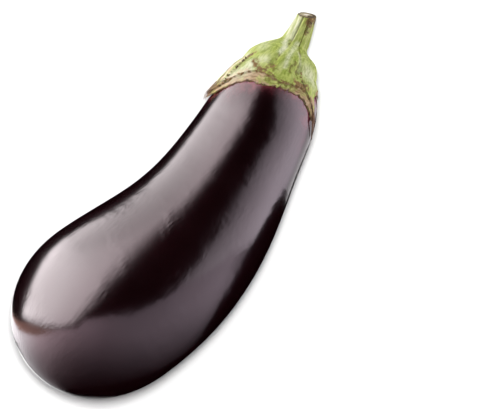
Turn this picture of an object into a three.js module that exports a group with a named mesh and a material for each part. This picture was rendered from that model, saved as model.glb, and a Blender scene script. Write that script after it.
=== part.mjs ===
// An aubergine (eggplant) as picked, lying on its side: one smooth, bent fruit, and the green
// calyx that caps its top, grown in one piece with the cut stem.
// Millimetres, +Z up. The fruit lies along X with its stem end towards +X and the hollow side
// of its bend towards +Y. It rests on a small flat spot on Z = 0, and the origin is the middle
// of the bottom of its box.

import * as THREE from 'three';
import { LoftGeometry } from 'three/addons/geometries/LoftGeometry.js';

// ---- Driving dimensions: millimetres and degrees ----

// The fruit. Stations are distances along its bent spine, from the blossom end.
const FRUIT_LENGTH = 185;
const BELLY_STATION = 46.5;
const BELLY_RADIUS = 40;
const BLOSSOM_ROUNDNESS = 2.06;      // 2 is an ellipse, and more is blunter
const NECK_STATION = 148.5;
const NECK_RADIUS = 25.8;
const NECK_TAPER = -0.105;           // change of radius per millimetre at the neck
const TOP_ROUNDNESS = 2.55;
const BEND_ANGLE = 26.2;             // turn of the spine, seen from above
const BEND_START = 46;
const BEND_END = 134;
const BLOSSOM_PITCH = -9;            // slope of the spine while its underside lies on the floor
const STEM_PITCH = -4;
const PITCH_START = 60;
const PITCH_END = 150;
const FLAT_SPOT_DEPTH = 1.5;         // how much the fruit's own weight flattens its underside

// The calyx. A reach is a distance down the fruit from its top, along its axis. Angles run
// round the axis from the hollow side (0) over the upper side (90). The stem's ribs and
// grooves run down over the shoulder to the lobes' tips and to the notches between them: the
// corners below are a notch, a tip, a notch and so on, with the front lobe's tip second.
// lobe: reach of the thick green lobes. rim: reach of the thin band that shows below them.
// lift: height of the lobe's edge over the skin. keel: ridge along the middle of a lobe.
// bow: degrees that the edge between this corner and the next bows round the fruit.
const CORNERS = [
  { stemAngle: 76, shoulderAngle: 69, angle: 63, lobe: 13.0, rim: 18.3, lift: 1.7, keel: 0 },
  { stemAngle: 93, shoulderAngle: 86, angle: 90, lobe: 13.1, rim: 15.2, lift: 1.7, keel: 0.5 },
  { stemAngle: 111, shoulderAngle: 103, angle: 117.5, lobe: 10.8, rim: 14.2, lift: 1.6, keel: 0, bow: 2 },
  { stemAngle: 138, shoulderAngle: 131, angle: 151, lobe: 19.0, rim: 20.6, lift: 1.3, keel: 0.2, bow: -11 },
  { stemAngle: 160, shoulderAngle: 158, angle: 163, lobe: 7.0, rim: 8.6, lift: 1.2, keel: 0 },
  { stemAngle: 178, shoulderAngle: 180, angle: 182, lobe: 6.2, rim: 7.6, lift: 1.1, keel: 0 },
  { stemAngle: 196, shoulderAngle: 199, angle: 200, lobe: 7.0, rim: 8.6, lift: 1.2, keel: 0 },
  { stemAngle: 224, shoulderAngle: 228, angle: 230, lobe: 29.5, rim: 31.2, lift: 1.5, keel: 0.6 },
  { stemAngle: 258, shoulderAngle: 262, angle: 262, lobe: 13.5, rim: 18.0, lift: 1.5, keel: 0 },
  { stemAngle: 297, shoulderAngle: 300, angle: 300, lobe: 31.5, rim: 33.3, lift: 1.5, keel: 0.7 },
  { stemAngle: 342, shoulderAngle: 340, angle: 338, lobe: 12.5, rim: 17.5, lift: 1.5, keel: 0 },
  { stemAngle: 390, shoulderAngle: 393, angle: 374, lobe: 31.6, rim: 33.4, lift: 1.9, keel: 0.7 },
];
const GAP = 0.3;                     // clearance between calyx and skin
const RIM_LIFT = 1.0;                // height of the thin rim band's outer face over the skin
const BAND_STEP = 0.4;               // the band starts this far below the lobe's edge
const LOBE_POINT_POWER = 2.5;        // higher makes the lobes' tips more pointed
const KEEL_START = 0.2;              // share of its height that a keel has at the shoulder

// Furrows run down the stem to the notches.
const FURROW_DEPTH = 0.5;
const FURROW_WIDTH = 0.16;           // share of the half lobe beside it
const FURROW_FLANK = 0.35;           // share of the depth that slopes away over the half lobe

// The calyx's shoulder and its sweep up into the stem, on the hollow side of the fruit, where
// it is broad and high, and on the other side, where it is low and meets the stem in a corner.
// drop, out: how far the sweep starts down and out from the stem. rise, back: how far its
// lower end starts up and back in from the shoulder.
const HOLLOW_SHOULDER = { reach: 9.8, lift: 2.9, drop: 5.4, out: 2.6, rise: 11.2, back: 1.9 };
const FAR_SHOULDER = { reach: 3.6, lift: 1.5, drop: 5.3, out: -0.5, rise: 9.8, back: 1.9 };

// The stem. Places are [along the fruit's axis from its top, towards the hollow side, up].
const STEM_FOOT = [9, 3.1, 0.3];
const STEM_MIDDLE = [15.5, 3.4, 0.6];
const STEM_CUT = [21.9, 4.3, 3.2];
const STEM_FOOT_RADIUS = 6.5;
const STEM_CUT_RADIUS = 4.35;
const STEM_FLARE = 1.15;             // exponent of its widening towards the foot
const CUT_FACING = [0.86, 0.3, 0.41];

// Mesh detail.
const POLE_RADIUS = 0.6;             // tiny flat closing face at the end of a loft
const CLOSING_DIP = 0.1;
const FRUIT_SIDES = 80;
const BLOSSOM_RINGS = 12;
const BODY_RINGS = 12;
const TOP_RINGS = 12;
const HALF_LOBE_SIDES = 7;
const STEM_RINGS = 7;
const SWEEP_RINGS = 8;
const LOBE_RINGS = 6;
const UNDERSIDE_RINGS = 9;
const SPINE_STEP = 0.5;
const LAST_UNDERSIDE_SHARE = 0.97;   // the underside stops short of the top, where it closes
const SLOPE_STEP = 0.01;             // for measuring the slope of the fruit's outline

const SKIN_COLOUR = 0x1c0c15;
const CALYX_COLOUR = 0xa3b45c;

const { clamp, degToRad, lerp, smoothstep } = THREE.MathUtils;

// ---- The fruit's form ----

// Radius of the fruit at a station: a rounded blossom end, a long taper and a closing top.
function fruitRadius(station) {
  if (station < BELLY_STATION) {
    const inward = (BELLY_STATION - station) / BELLY_STATION;
    return BELLY_RADIUS * (1 - inward ** BLOSSOM_ROUNDNESS) ** (1 / BLOSSOM_ROUNDNESS);
  }
  if (station < NECK_STATION) {
    const span = NECK_STATION - BELLY_STATION;
    const t = (station - BELLY_STATION) / span;
    const ease = t * t * (3 - 2 * t);
    return lerp(BELLY_RADIUS, NECK_RADIUS, ease) + NECK_TAPER * span * t * t * (t - 1);
  }
  const onward = Math.min((station - NECK_STATION) / (FRUIT_LENGTH - NECK_STATION), 1);
  const tapered = NECK_RADIUS + NECK_TAPER * (station - NECK_STATION);
  return tapered * (1 - onward ** TOP_ROUNDNESS) ** (1 / TOP_ROUNDNESS);
}

function spineDirection(station) {
  const heading = degToRad(BEND_ANGLE * (smoothstep(station, BEND_START, BEND_END) - 0.5));
  const slope = smoothstep(station, PITCH_START, PITCH_END);
  const pitch = degToRad(lerp(BLOSSOM_PITCH, STEM_PITCH, slope));
  return new THREE.Vector3(
    Math.cos(pitch) * Math.cos(heading),
    Math.cos(pitch) * Math.sin(heading),
    Math.sin(pitch),
  );
}

// The spine's place and directions at a station, walked out from the blossom end.
function spineFrame(station) {
  const origin = new THREE.Vector3();
  const steps = Math.max(1, Math.ceil(station / SPINE_STEP));
  const step = station / steps;
  for (let i = 0; i < steps; i += 1) {
    origin.addScaledVector(spineDirection((i + 0.5) * step), step);
  }
  const along = spineDirection(station);
  const side = new THREE.Vector3(-along.y, along.x, 0).normalize();
  const up = new THREE.Vector3().crossVectors(along, side);
  return { origin, along, side, up };
}

// Unit vector square to the frame's axis, at an angle from its side direction.
function radial(frame, angle) {
  const a = degToRad(angle);
  return frame.side.clone().multiplyScalar(Math.cos(a)).addScaledVector(frame.up, Math.sin(a));
}

// ---- Fruit ----

function fruitStations() {
  const stations = [];
  for (let i = 0; i < BLOSSOM_RINGS; i += 1) {
    const turn = (Math.PI / 2) * (i / BLOSSOM_RINGS);
    stations.push(BELLY_STATION * (1 - Math.cos(turn) ** (2 / BLOSSOM_ROUNDNESS)));
  }
  for (let i = 0; i < BODY_RINGS; i += 1) {
    stations.push(lerp(BELLY_STATION, NECK_STATION, i / BODY_RINGS));
  }
  for (let i = 0; i <= TOP_RINGS; i += 1) {
    const turn = (Math.PI / 2) * (i / TOP_RINGS);
    stations.push(lerp(NECK_STATION, FRUIT_LENGTH, Math.sin(turn) ** (2 / TOP_ROUNDNESS)));
  }
  return stations;
}

function fruitRing(station) {
  const frame = spineFrame(station);
  const radius = Math.max(fruitRadius(station), POLE_RADIUS);
  const ring = [];
  for (let i = 0; i < FRUIT_SIDES; i += 1) {
    ring.push(frame.origin.clone().addScaledVector(radial(frame, (360 * i) / FRUIT_SIDES), radius));
  }
  return ring;
}

// The underside is pressed flat where the fruit's weight rests on the floor.
function flattenUnderside(rings) {
  const points = rings.flat();
  const floor = Math.min(...points.map((point) => point.z)) + FLAT_SPOT_DEPTH;
  for (const point of points) {
    point.z = Math.max(point.z, floor);
  }
}

function makeFruit() {
  const rings = fruitStations().map(fruitRing);
  flattenUnderside(rings);
  const geometry = new LoftGeometry(rings, { closed: true, capStart: true, capEnd: true });
  const skin = new THREE.MeshStandardMaterial({ color: SKIN_COLOUR, roughness: 0.15 });
  return new THREE.Mesh(geometry, skin);
}

// ---- Calyx and stem ----

const TOP = spineFrame(FRUIT_LENGTH);

// A point of the fruit's skin near its top, raised by lift square to the skin.
function skinPoint(reach, angle, lift) {
  const station = FRUIT_LENGTH - reach;
  const nudge = Math.min(SLOPE_STEP, reach / 2);
  const slope = (fruitRadius(station + nudge) - fruitRadius(station - nudge)) / (2 * nudge);
  const outward = radial(TOP, angle);
  const normal = outward.clone().addScaledVector(TOP.along, -slope).normalize();
  return TOP.origin.clone()
    .addScaledVector(TOP.along, -reach)
    .addScaledVector(outward, fruitRadius(station))
    .addScaledVector(normal, lift);
}

function fromTop([along, side, up]) {
  return TOP.origin.clone()
    .addScaledVector(TOP.along, along)
    .addScaledVector(TOP.side, side)
    .addScaledVector(TOP.up, up);
}

// Meridians run from stem to rim, along the grooves, the keels and evenly between them. Each
// knows how far it is from a notch (0) to a lobe's tip (1).
function calyxMeridians() {
  const meridians = [];
  for (let i = 0; i < CORNERS.length; i += 1) {
    const from = CORNERS[i];
    const to = i + 1 < CORNERS.length ? CORNERS[i + 1] : turnedOnce(CORNERS[0]);
    for (let j = 0; j < HALF_LOBE_SIDES; j += 1) {
      const share = j / HALF_LOBE_SIDES;
      const fromNotch = i % 2 === 0;
      const toTip = fromNotch ? share : 1 - share;
      const notch = fromNotch ? from : to;
      const tip = fromNotch ? to : from;
      const point = pointed(toTip);
      const bow = (from.bow ?? 0) * Math.sin(Math.PI * share);
      meridians.push({
        toTip,
        stemAngle: lerp(from.stemAngle, to.stemAngle, share),
        shoulderAngle: lerp(from.shoulderAngle, to.shoulderAngle, share),
        angle: lerp(from.angle, to.angle, share) + bow,
        lobeReach: lerp(notch.lobe, tip.lobe, point),
        rimReach: lerp(notch.rim, tip.rim, point),
        edgeLift: lerp(notch.lift, tip.lift, toTip),
        keel: tip.keel * toTip,
      });
    }
  }
  return meridians;
}

function turnedOnce(corner) {
  return {
    ...corner,
    stemAngle: corner.stemAngle + 360,
    shoulderAngle: corner.shoulderAngle + 360,
    angle: corner.angle + 360,
  };
}

// Outline of half a lobe: it leaves the notch gently and ends in a point.
function pointed(toTip) {
  return (smoothstep(toTip, 0, 1) + toTip ** LOBE_POINT_POWER) / 2;
}

// Furrow between two lobes: deepest on the notch line, and gone a little way beside it.
function furrow(toTip) {
  return FURROW_DEPTH * (Math.exp(-((toTip / FURROW_WIDTH) ** 2)) + FURROW_FLANK * (1 - toTip));
}

const STEM_AXIS = new THREE.QuadraticBezierCurve3(
  fromTop(STEM_FOOT),
  fromTop(STEM_MIDDLE),
  fromTop(STEM_CUT),
);

// A point of the stem's ribbed surface, from its foot (0) to the slanting cut (1).
function stemPoint(meridian, share) {
  const centre = STEM_AXIS.getPoint(share);
  const along = STEM_AXIS.getTangent(share);
  const side = TOP.side.clone().addScaledVector(along, -TOP.side.dot(along)).normalize();
  const frame = { side, up: new THREE.Vector3().crossVectors(along, side) };
  const swell = (STEM_FOOT_RADIUS - STEM_CUT_RADIUS) * (1 - share) ** STEM_FLARE;
  const radius = STEM_CUT_RADIUS + swell - furrow(meridian.toTip);
  const arm = radial(frame, meridian.stemAngle).multiplyScalar(radius);
  const facing = TOP.along.clone().multiplyScalar(CUT_FACING[0])
    .addScaledVector(TOP.side, CUT_FACING[1])
    .addScaledVector(TOP.up, CUT_FACING[2]);
  const slant = -arm.dot(facing) / along.dot(facing);
  return centre.add(arm).addScaledVector(along, slant * share ** 3);
}

function shoulderOf(meridian) {
  const towardsFar = (1 - Math.cos(degToRad(meridian.shoulderAngle))) / 2;
  const shoulder = {};
  for (const name of Object.keys(HOLLOW_SHOULDER)) {
    shoulder[name] = lerp(HOLLOW_SHOULDER[name], FAR_SHOULDER[name], towardsFar);
  }
  return shoulder;
}

// The concave sweep from the stem's foot (0) down to the calyx's shoulder (1).
function sweepPoint(meridian, share) {
  const shoulder = shoulderOf(meridian);
  const foot = stemPoint(meridian, 0);
  const lower = lobePoint(meridian, 0);
  const footArm = radial(TOP, (meridian.stemAngle + meridian.shoulderAngle) / 2);
  const lowerArm = radial(TOP, meridian.shoulderAngle);
  const footHandle = foot.clone()
    .addScaledVector(TOP.along, -shoulder.drop)
    .addScaledVector(footArm, shoulder.out);
  const lowerHandle = lower.clone()
    .addScaledVector(TOP.along, shoulder.rise)
    .addScaledVector(lowerArm, -shoulder.back);
  return new THREE.CubicBezierCurve3(foot, footHandle, lowerHandle, lower).getPoint(share);
}

// The lobes' outer face, from the shoulder (0) to the lobe's edge (1).
function lobePoint(meridian, share) {
  const shoulder = shoulderOf(meridian);
  const keel = meridian.keel * Math.sin(Math.PI * lerp(KEEL_START, 1, share));
  const groove = furrow(meridian.toTip) * (1 - share);
  const reach = lerp(shoulder.reach, meridian.lobeReach, share);
  const angle = lerp(meridian.shoulderAngle, meridian.angle, share);
  const lift = lerp(shoulder.lift, meridian.edgeLift, Math.sqrt(share)) + keel - groove;
  return skinPoint(reach, angle, Math.max(lift, RIM_LIFT));
}

// The underside follows the skin at the clearance, from the rim (0) to the top (1). Seen square
// to the skin, its lines run under those of the lobe.
function undersidePoint(meridian, share) {
  const closing = FRUIT_LENGTH - NECK_STATION;
  const start = Math.asin((1 - meridian.rimReach / closing) ** (TOP_ROUNDNESS / 2));
  const turn = lerp(start, Math.PI / 2, share);
  const reach = closing * (1 - Math.sin(turn) ** (2 / TOP_ROUNDNESS));
  const shoulder = shoulderOf(meridian);
  const towardsEdge = clamp((reach - shoulder.reach) / (meridian.lobeReach - shoulder.reach), 0, 1);
  return skinPoint(reach, lerp(meridian.shoulderAngle, meridian.angle, towardsEdge), GAP);
}

// The small flat face that closes the underside over the fruit's top. It sits a hair lower
// than the ring round it, so that the loft turns it towards the fruit.
function closingPoint(meridian) {
  return TOP.origin.clone()
    .addScaledVector(TOP.along, GAP - CLOSING_DIP)
    .addScaledVector(radial(TOP, meridian.shoulderAngle), POLE_RADIUS);
}

function makeCalyx() {
  const meridians = calyxMeridians();
  const rings = [meridians.map(closingPoint)];
  const addRings = (count, place) => {
    for (let i = 0; i < count; i += 1) {
      rings.push(meridians.map((meridian) => place(meridian, i / count)));
    }
  };
  addRings(UNDERSIDE_RINGS, (m, share) => undersidePoint(m, LAST_UNDERSIDE_SHARE * (1 - share)));
  rings.push(meridians.map((m) => undersidePoint(m, 0)));
  rings.push(meridians.map((m) => skinPoint(m.rimReach, m.angle, RIM_LIFT)));
  rings.push(meridians.map((m) => skinPoint(m.lobeReach + BAND_STEP, m.angle, RIM_LIFT)));
  addRings(LOBE_RINGS, (m, share) => lobePoint(m, 1 - share));
  addRings(SWEEP_RINGS, (m, share) => sweepPoint(m, 1 - share));
  addRings(STEM_RINGS, stemPoint);
  rings.push(meridians.map((m) => stemPoint(m, 1)));
  const geometry = new LoftGeometry(rings, { closed: true, capStart: true, capEnd: true });
  const green = new THREE.MeshStandardMaterial({ color: CALYX_COLOUR, roughness: 0.6 });
  return new THREE.Mesh(geometry, green);
}

// ---- Assembly ----

const plant = new THREE.Group();
const fruit = makeFruit();
fruit.name = 'fruit';
plant.add(fruit);
const calyx = makeCalyx();
calyx.name = 'calyx';
plant.add(calyx);

const box = new THREE.Box3().setFromObject(plant, true);
const middle = box.getCenter(new THREE.Vector3());
plant.position.set(-middle.x, -middle.y, -box.min.z);

const aubergine = new THREE.Group();
aubergine.add(plant);

export default aubergine;
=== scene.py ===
# %% [markdown]
# # An aubergine, picked and laid down
# This lesson dresses one aubergine: a smooth, bent, nearly black fruit, and the green calyx that
# caps it, grown in one piece with the cut stem. The plain solids are loaded first. They say where
# everything is, and each finished piece takes the place of one of them.

# %% Load the solids
import math

import bpy
import numpy as np
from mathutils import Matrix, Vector, noise


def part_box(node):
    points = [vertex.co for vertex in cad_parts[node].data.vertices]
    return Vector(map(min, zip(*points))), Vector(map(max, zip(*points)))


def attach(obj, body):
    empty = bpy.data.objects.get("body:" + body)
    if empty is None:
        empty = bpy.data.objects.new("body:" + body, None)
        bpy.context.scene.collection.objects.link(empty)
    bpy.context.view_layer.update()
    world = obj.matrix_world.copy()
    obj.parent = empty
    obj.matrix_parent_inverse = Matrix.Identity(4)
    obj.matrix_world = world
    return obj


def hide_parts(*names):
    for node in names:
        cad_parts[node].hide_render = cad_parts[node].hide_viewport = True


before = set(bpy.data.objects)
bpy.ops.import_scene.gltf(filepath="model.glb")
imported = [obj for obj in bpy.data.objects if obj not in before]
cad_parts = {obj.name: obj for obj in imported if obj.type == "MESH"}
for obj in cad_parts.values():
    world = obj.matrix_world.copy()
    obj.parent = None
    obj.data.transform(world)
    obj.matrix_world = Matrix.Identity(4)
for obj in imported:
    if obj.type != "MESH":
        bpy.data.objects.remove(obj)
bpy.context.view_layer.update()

# %% [markdown]
# ## The camera
# The fruit lies on its side, and the camera looks straight down on it. A long lens from more than
# a metre away keeps the outline true, which is how produce is usually shown. The view is turned,
# so that the fruit leans across the frame with its stem at the top right.

# %% Make the camera
MM = 0.001
VIEW_WIDTH = 217.8 * MM              # what the view spans at the height of the outline
OUTLINE_HEIGHT = 37 * MM             # the fruit's widest line lies about this high
VIEW_CENTRE = (16.0 * MM, -13.1 * MM)
VIEW_TURN = math.radians(48.2)       # the fruit's long axis leans this much out of level
LENS = 200
SENSOR = 36
NEAREST_SEEN = 0.05
FURTHEST_SEEN = 50

camera_height = OUTLINE_HEIGHT + VIEW_WIDTH * LENS / SENSOR
camera_data = bpy.data.cameras.new("long_lens")
camera_data.lens = LENS
camera_data.sensor_width = SENSOR
camera_data.clip_start = NEAREST_SEEN
camera_data.clip_end = FURTHEST_SEEN
camera = bpy.data.objects.new("camera", camera_data)
camera.location = (*VIEW_CENTRE, camera_height)
camera.rotation_euler = (0, 0, -VIEW_TURN)
bpy.context.scene.collection.objects.link(camera)
bpy.context.scene.camera = camera
print("camera", round(camera_height, 3), "m above the floor")

# %% [markdown]
# ## The fruit's measures
# The fruit grew round a bent line, its spine. A station is a distance along that spine from the
# blossom end, and every size below is in millimetres or degrees, as in the solids. One formula
# gives the radius at any station, and another the direction in which the spine runs.

# %% Measures of the fruit
FRUIT_LENGTH = 185
BELLY_STATION = 46.5
BELLY_RADIUS = 40
BLOSSOM_ROUNDNESS = 2.06             # 2 is an ellipse, and more is blunter
NECK_STATION = 148.5
NECK_RADIUS = 25.8
NECK_TAPER = -0.105                  # change of radius per millimetre at the neck
TOP_ROUNDNESS = 2.55
BEND_ANGLE = 26.2                    # turn of the spine, seen from above
BEND_START = 46
BEND_END = 134
BLOSSOM_PITCH = -9                   # slope of the spine while its underside lies on the floor
STEM_PITCH = -4
PITCH_START = 60
PITCH_END = 150
FLAT_SPOT_DEPTH = 1.5                # how much the fruit's own weight flattens its underside
SPINE_STEPS = 3700                   # steps in which the spine's directions are summed up


def smoothstep(value, low, high):
    """0 below low, 1 above high, and an even S between them."""
    share = np.clip((value - low) / (high - low), 0, 1)
    return share * share * (3 - 2 * share)


def blend(start, end, share):
    """The start at share 0, the end at share 1, and evenly between them."""
    return start + (end - start) * share


def bell(value, middle, width):
    """1 in the middle, and falling off evenly to both sides over the width."""
    return np.exp(-(((value - middle) / width) ** 2))


def superellipse(share, roundness):
    """Quarter of a rounded outline: 1 at share 0, and closing to 0 at share 1."""
    return (1 - np.clip(share, 0, 1) ** roundness) ** (1 / roundness)


def fruit_radius(station):
    """Radius at a station: a blunt blossom end, a body that slims to the neck, and a rounded top."""
    station = np.asarray(station, float)
    to_blossom = (BELLY_STATION - station) / BELLY_STATION
    blossom = BELLY_RADIUS * superellipse(to_blossom, BLOSSOM_ROUNDNESS)
    span = NECK_STATION - BELLY_STATION
    share = np.clip((station - BELLY_STATION) / span, 0, 1)
    body = blend(BELLY_RADIUS, NECK_RADIUS, smoothstep(share, 0, 1))
    body = body + NECK_TAPER * span * share * share * (share - 1)
    past_neck = station - NECK_STATION
    tapered = NECK_RADIUS + NECK_TAPER * past_neck
    top = tapered * superellipse(past_neck / (FRUIT_LENGTH - NECK_STATION), TOP_ROUNDNESS)
    return np.select([station < BELLY_STATION, station < NECK_STATION], [blossom, body], top)


def spine_direction(station):
    """Which way the spine runs at a station: it bends level, and its slope changes a little."""
    heading = np.radians(BEND_ANGLE * (smoothstep(station, BEND_START, BEND_END) - 0.5))
    slope = smoothstep(station, PITCH_START, PITCH_END)
    pitch = np.radians(blend(BLOSSOM_PITCH, STEM_PITCH, slope))
    level = np.cos(pitch)
    return np.stack([level * np.cos(heading), level * np.sin(heading), np.sin(pitch)], axis=-1)


def spine_points(stations):
    """Places on the spine: its directions summed up from the blossom end."""
    fine = np.linspace(0, FRUIT_LENGTH, SPINE_STEPS + 1)
    steps = spine_direction((fine[1:] + fine[:-1]) / 2) * np.diff(fine)[:, None]
    walked = np.vstack([np.zeros(3), np.cumsum(steps, axis=0)])
    return np.stack([np.interp(stations, fine, walked[:, axis]) for axis in range(3)], axis=-1)


def across(directions):
    """The level side direction and the upward one, square to each direction along."""
    side = np.stack([-directions[..., 1], directions[..., 0], 0 * directions[..., 0]], axis=-1)
    side = side / np.linalg.norm(side, axis=-1, keepdims=True)
    return side, np.cross(directions, side)


print("radius at belly and neck:", fruit_radius([BELLY_STATION, NECK_STATION]), "mm")

# %% [markdown]
# ## From the spine to the scene
# The solids stand with their own middle at the origin, so the spine is shifted to match. The
# fruit's box, read from the frame, says by how much, and its lowest point is pressed flat.

# %% Find the shift
SURVEY_STATIONS = np.linspace(0, FRUIT_LENGTH, 741)
SURVEY_ANGLES = np.radians(np.arange(0, 360, 2))


def survey_fruit():
    """Points all over the unshifted fruit."""
    centres = spine_points(SURVEY_STATIONS)
    side, up = across(spine_direction(SURVEY_STATIONS))
    radius = fruit_radius(SURVEY_STATIONS)[:, None, None]
    arms = np.cos(SURVEY_ANGLES)[:, None] * side[:, None] + np.sin(SURVEY_ANGLES)[:, None] * up[:, None]
    return (centres[:, None] + radius * arms).reshape(-1, 3)


def find_shift():
    points = survey_fruit()
    low, high = (np.array(corner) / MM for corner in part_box("fruit"))
    shift = (low + high) / 2 - (points.min(axis=0) + points.max(axis=0)) / 2
    shift[2] = -points[:, 2].min() - FLAT_SPOT_DEPTH
    return shift


SHIFT = find_shift()
print("spine shifted by", SHIFT.round(2), "mm")


def to_scene(points):
    """Millimetres from the spine's start to metres in the scene."""
    return (np.asarray(points) + SHIFT) * MM


# %% [markdown]
# ## Small helpers
# One function adds a node to any tree with its settings and links. Colours are written as on a
# screen, and another function turns them into the linear values that the renderer mixes.

# %% Node helpers
def linear(code):
    """A screen colour such as "#a3b45c" as linear red, green, blue and alpha."""
    channels = [int(code[i:i + 2], 16) / 255 for i in (1, 3, 5)]
    return (*(c / 12.92 if c <= 0.04045 else ((c + 0.055) / 1.055) ** 2.4 for c in channels), 1)


def connect(tree, node, inputs):
    """Fill a node's inputs, by name or number, with values, outputs or nodes. A word is a colour
    code where the input is a colour, and what is kept on the mesh where it is a number."""
    shown = [socket for socket in node.inputs if socket.enabled]
    for key, value in inputs.items():
        socket = shown[key] if isinstance(key, int) else next(s for s in shown if s.name == key)
        if isinstance(value, str) and socket.type == "RGBA":
            value = linear(value)
        if isinstance(value, str) and socket.type == "VALUE":
            value = add(tree, "ShaderNodeAttribute", attribute_name=value).outputs["Fac"]
        if isinstance(value, bpy.types.Node):
            value = next(output for output in value.outputs if output.enabled)
        if isinstance(value, bpy.types.NodeSocket):
            tree.links.new(value, socket)
        else:
            socket.default_value = value


def add(tree, kind, inputs=None, **settings):
    """Add a node to a tree, with its settings and inputs."""
    node = tree.nodes.new(kind)
    for name, value in settings.items():
        setattr(node, name, value)
    connect(tree, node, inputs or {})
    return node


print("a screen's mid grey is", round(linear("#808080")[0], 3), "in linear light")

# %% [markdown]
# ## Meshes and their trees
# A mesh can keep a number on each of its points, for a tree or a material to read by name. A tree
# of geometry nodes makes what follows a path or repeats. Its sizes are inputs with names, so that
# they can be changed later, and once it has run, a plain mesh is left.

# %% Mesh helpers
def make_object(name, vertices, edges, faces):
    """A new object in the scene, with a mesh of these vertices, edges and faces."""
    mesh = bpy.data.meshes.new(name)
    mesh.from_pydata(vertices, edges, faces)
    mesh.update()
    made = bpy.data.objects.new(name, mesh)
    bpy.context.scene.collection.objects.link(made)
    return made


def give(mesh, name, values):
    """Keep one number for each point of a mesh, for a node tree or a material to read."""
    mesh.attributes.new(name, "FLOAT", "POINT").data.foreach_set("value", np.asarray(values, np.float32))


def new_tree(name, sizes):
    """A geometry tree with a geometry input and the named sizes, and what its group input gives."""
    tree = bpy.data.node_groups.new(name, "GeometryNodeTree")
    tree.interface.new_socket("Geometry", in_out="INPUT", socket_type="NodeSocketGeometry")
    for label, value in sizes.items():
        kind = "NodeSocketInt" if isinstance(value, int) else "NodeSocketFloat"
        tree.interface.new_socket(label, in_out="INPUT", socket_type=kind)
    tree.interface.new_socket("Geometry", in_out="OUTPUT", socket_type="NodeSocketGeometry")
    return tree, add(tree, "NodeGroupInput").outputs


def end_tree(tree, geometry, material):
    """Close a tree: real geometry with no instances, smooth shading and one material."""
    real = add(tree, "GeometryNodeRealizeInstances", {"Geometry": geometry})
    smooth = add(tree, "GeometryNodeSetShadeSmooth", {"Geometry": real})
    finished = add(tree, "GeometryNodeSetMaterial", {"Geometry": smooth, "Material": material})
    add(tree, "NodeGroupOutput", {"Geometry": finished})
    return tree


def grow(piece, tree, sizes):
    """Run a geometry tree on a piece, keep what it makes as a plain mesh, and drop the modifier."""
    modifier = piece.modifiers.new(tree.name, "NODES")
    modifier.node_group = tree
    sockets = {item.name: item.identifier for item in tree.interface.items_tree if item.in_out == "INPUT"}
    for label, value in sizes.items():
        modifier[sockets[label]] = value
    graph = bpy.context.evaluated_depsgraph_get()
    grown = bpy.data.meshes.new_from_object(piece.evaluated_get(graph))
    piece.modifiers.remove(modifier)
    raw = piece.data
    piece.data = grown
    bpy.data.meshes.remove(raw)
    grown.name = piece.name
    print(piece.name, "has", len(grown.polygons), "faces")


# %% [markdown]
# ## Paint
# Every finish starts from the same two things: a speckle with a size in real millimetres, and
# colours laid over one another like coats of paint.

# %% Paint
def speckle(tree, millimetres, detail=2.0):
    """Even noise on the object's own coordinates, with features about this many millimetres wide."""
    where = add(tree, "ShaderNodeTexCoord").outputs["Object"]
    frequency = 1 / (millimetres * MM)
    return add(tree, "ShaderNodeTexNoise", {"Vector": where, "Scale": frequency, "Detail": detail})


def coated(tree, colour, *coats):
    """Coats laid over a colour. A coat is its own colour and how much it covers: a value, or a
    value, the two levels between which the coat comes in, and the share that it ends with."""
    for over, cover, *steps in coats:
        if steps:
            cover = add(tree, "ShaderNodeMapRange", {
                "Value": cover, "From Min": steps[0], "From Max": steps[1], "To Max": steps[2],
            }, interpolation_type="SMOOTHSTEP")
        colour = add(tree, "ShaderNodeMix", {"Factor": cover, "A": colour, "B": over}, data_type="RGBA")
    return colour


def new_material(name):
    """A new material, its node tree and its shader."""
    made = bpy.data.materials.new(name)
    made.use_nodes = True
    return made, made.node_tree, made.node_tree.nodes["Principled BSDF"]


print("materials so far:", len(bpy.data.materials))

# %% [markdown]
# ## Aubergine skin
# The skin is a thin waxy cuticle over cells full of dark purple pigment. Under even light it is
# almost black, and what the eye sees is its gloss: long clean reflections, a little broken by
# faint dents and lengthwise streaks. Close to the calyx, where no sun reached it, the skin is pink.
# The blossom scar at the other end is dry cork. Each pattern's size is in real millimetres, but the
# wax's own grain is too fine to show, so its finest relief is drawn at 0.7 millimetres.

# %% Skin material
BUMP_UNIT = 0.006 * MM               # the depth of the skin's relief where its value is 1


def pink_share(tree):
    """The blush below the calyx, a little patchy."""
    patchy = add(tree, "ShaderNodeMapRange", {
        "Value": speckle(tree, 3.2, 3), "From Min": 0.42, "From Max": 0.66, "To Min": 0.5, "To Max": 1.25,
    })
    return add(tree, "ShaderNodeMath", {0: "blush", 1: patchy}, operation="MULTIPLY", use_clamp=True)


def skin_relief(tree):
    """Fine grain and shallow bumps all over, and streaks along the fruit that show in patches."""
    even = add(tree, "ShaderNodeMath", {
        0: speckle(tree, 3.2, 3), 1: 3.0, 2: speckle(tree, 0.7),
    }, operation="MULTIPLY_ADD")
    stretched = add(tree, "ShaderNodeMapping", {
        "Vector": add(tree, "ShaderNodeTexCoord").outputs["Object"], "Scale": (0.2, 1, 1),
    })
    streaks = add(tree, "ShaderNodeTexNoise", {"Vector": stretched, "Scale": 1 / (1.2 * MM), "Detail": 3.0})
    patches = add(tree, "ShaderNodeMapRange", {
        "Value": speckle(tree, 14), "From Min": 0.44, "From Max": 0.64, "To Min": 2.0, "To Max": 21.0,
    })
    return add(tree, "ShaderNodeMath", {0: streaks, 1: patches, 2: even}, operation="MULTIPLY_ADD")


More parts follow.
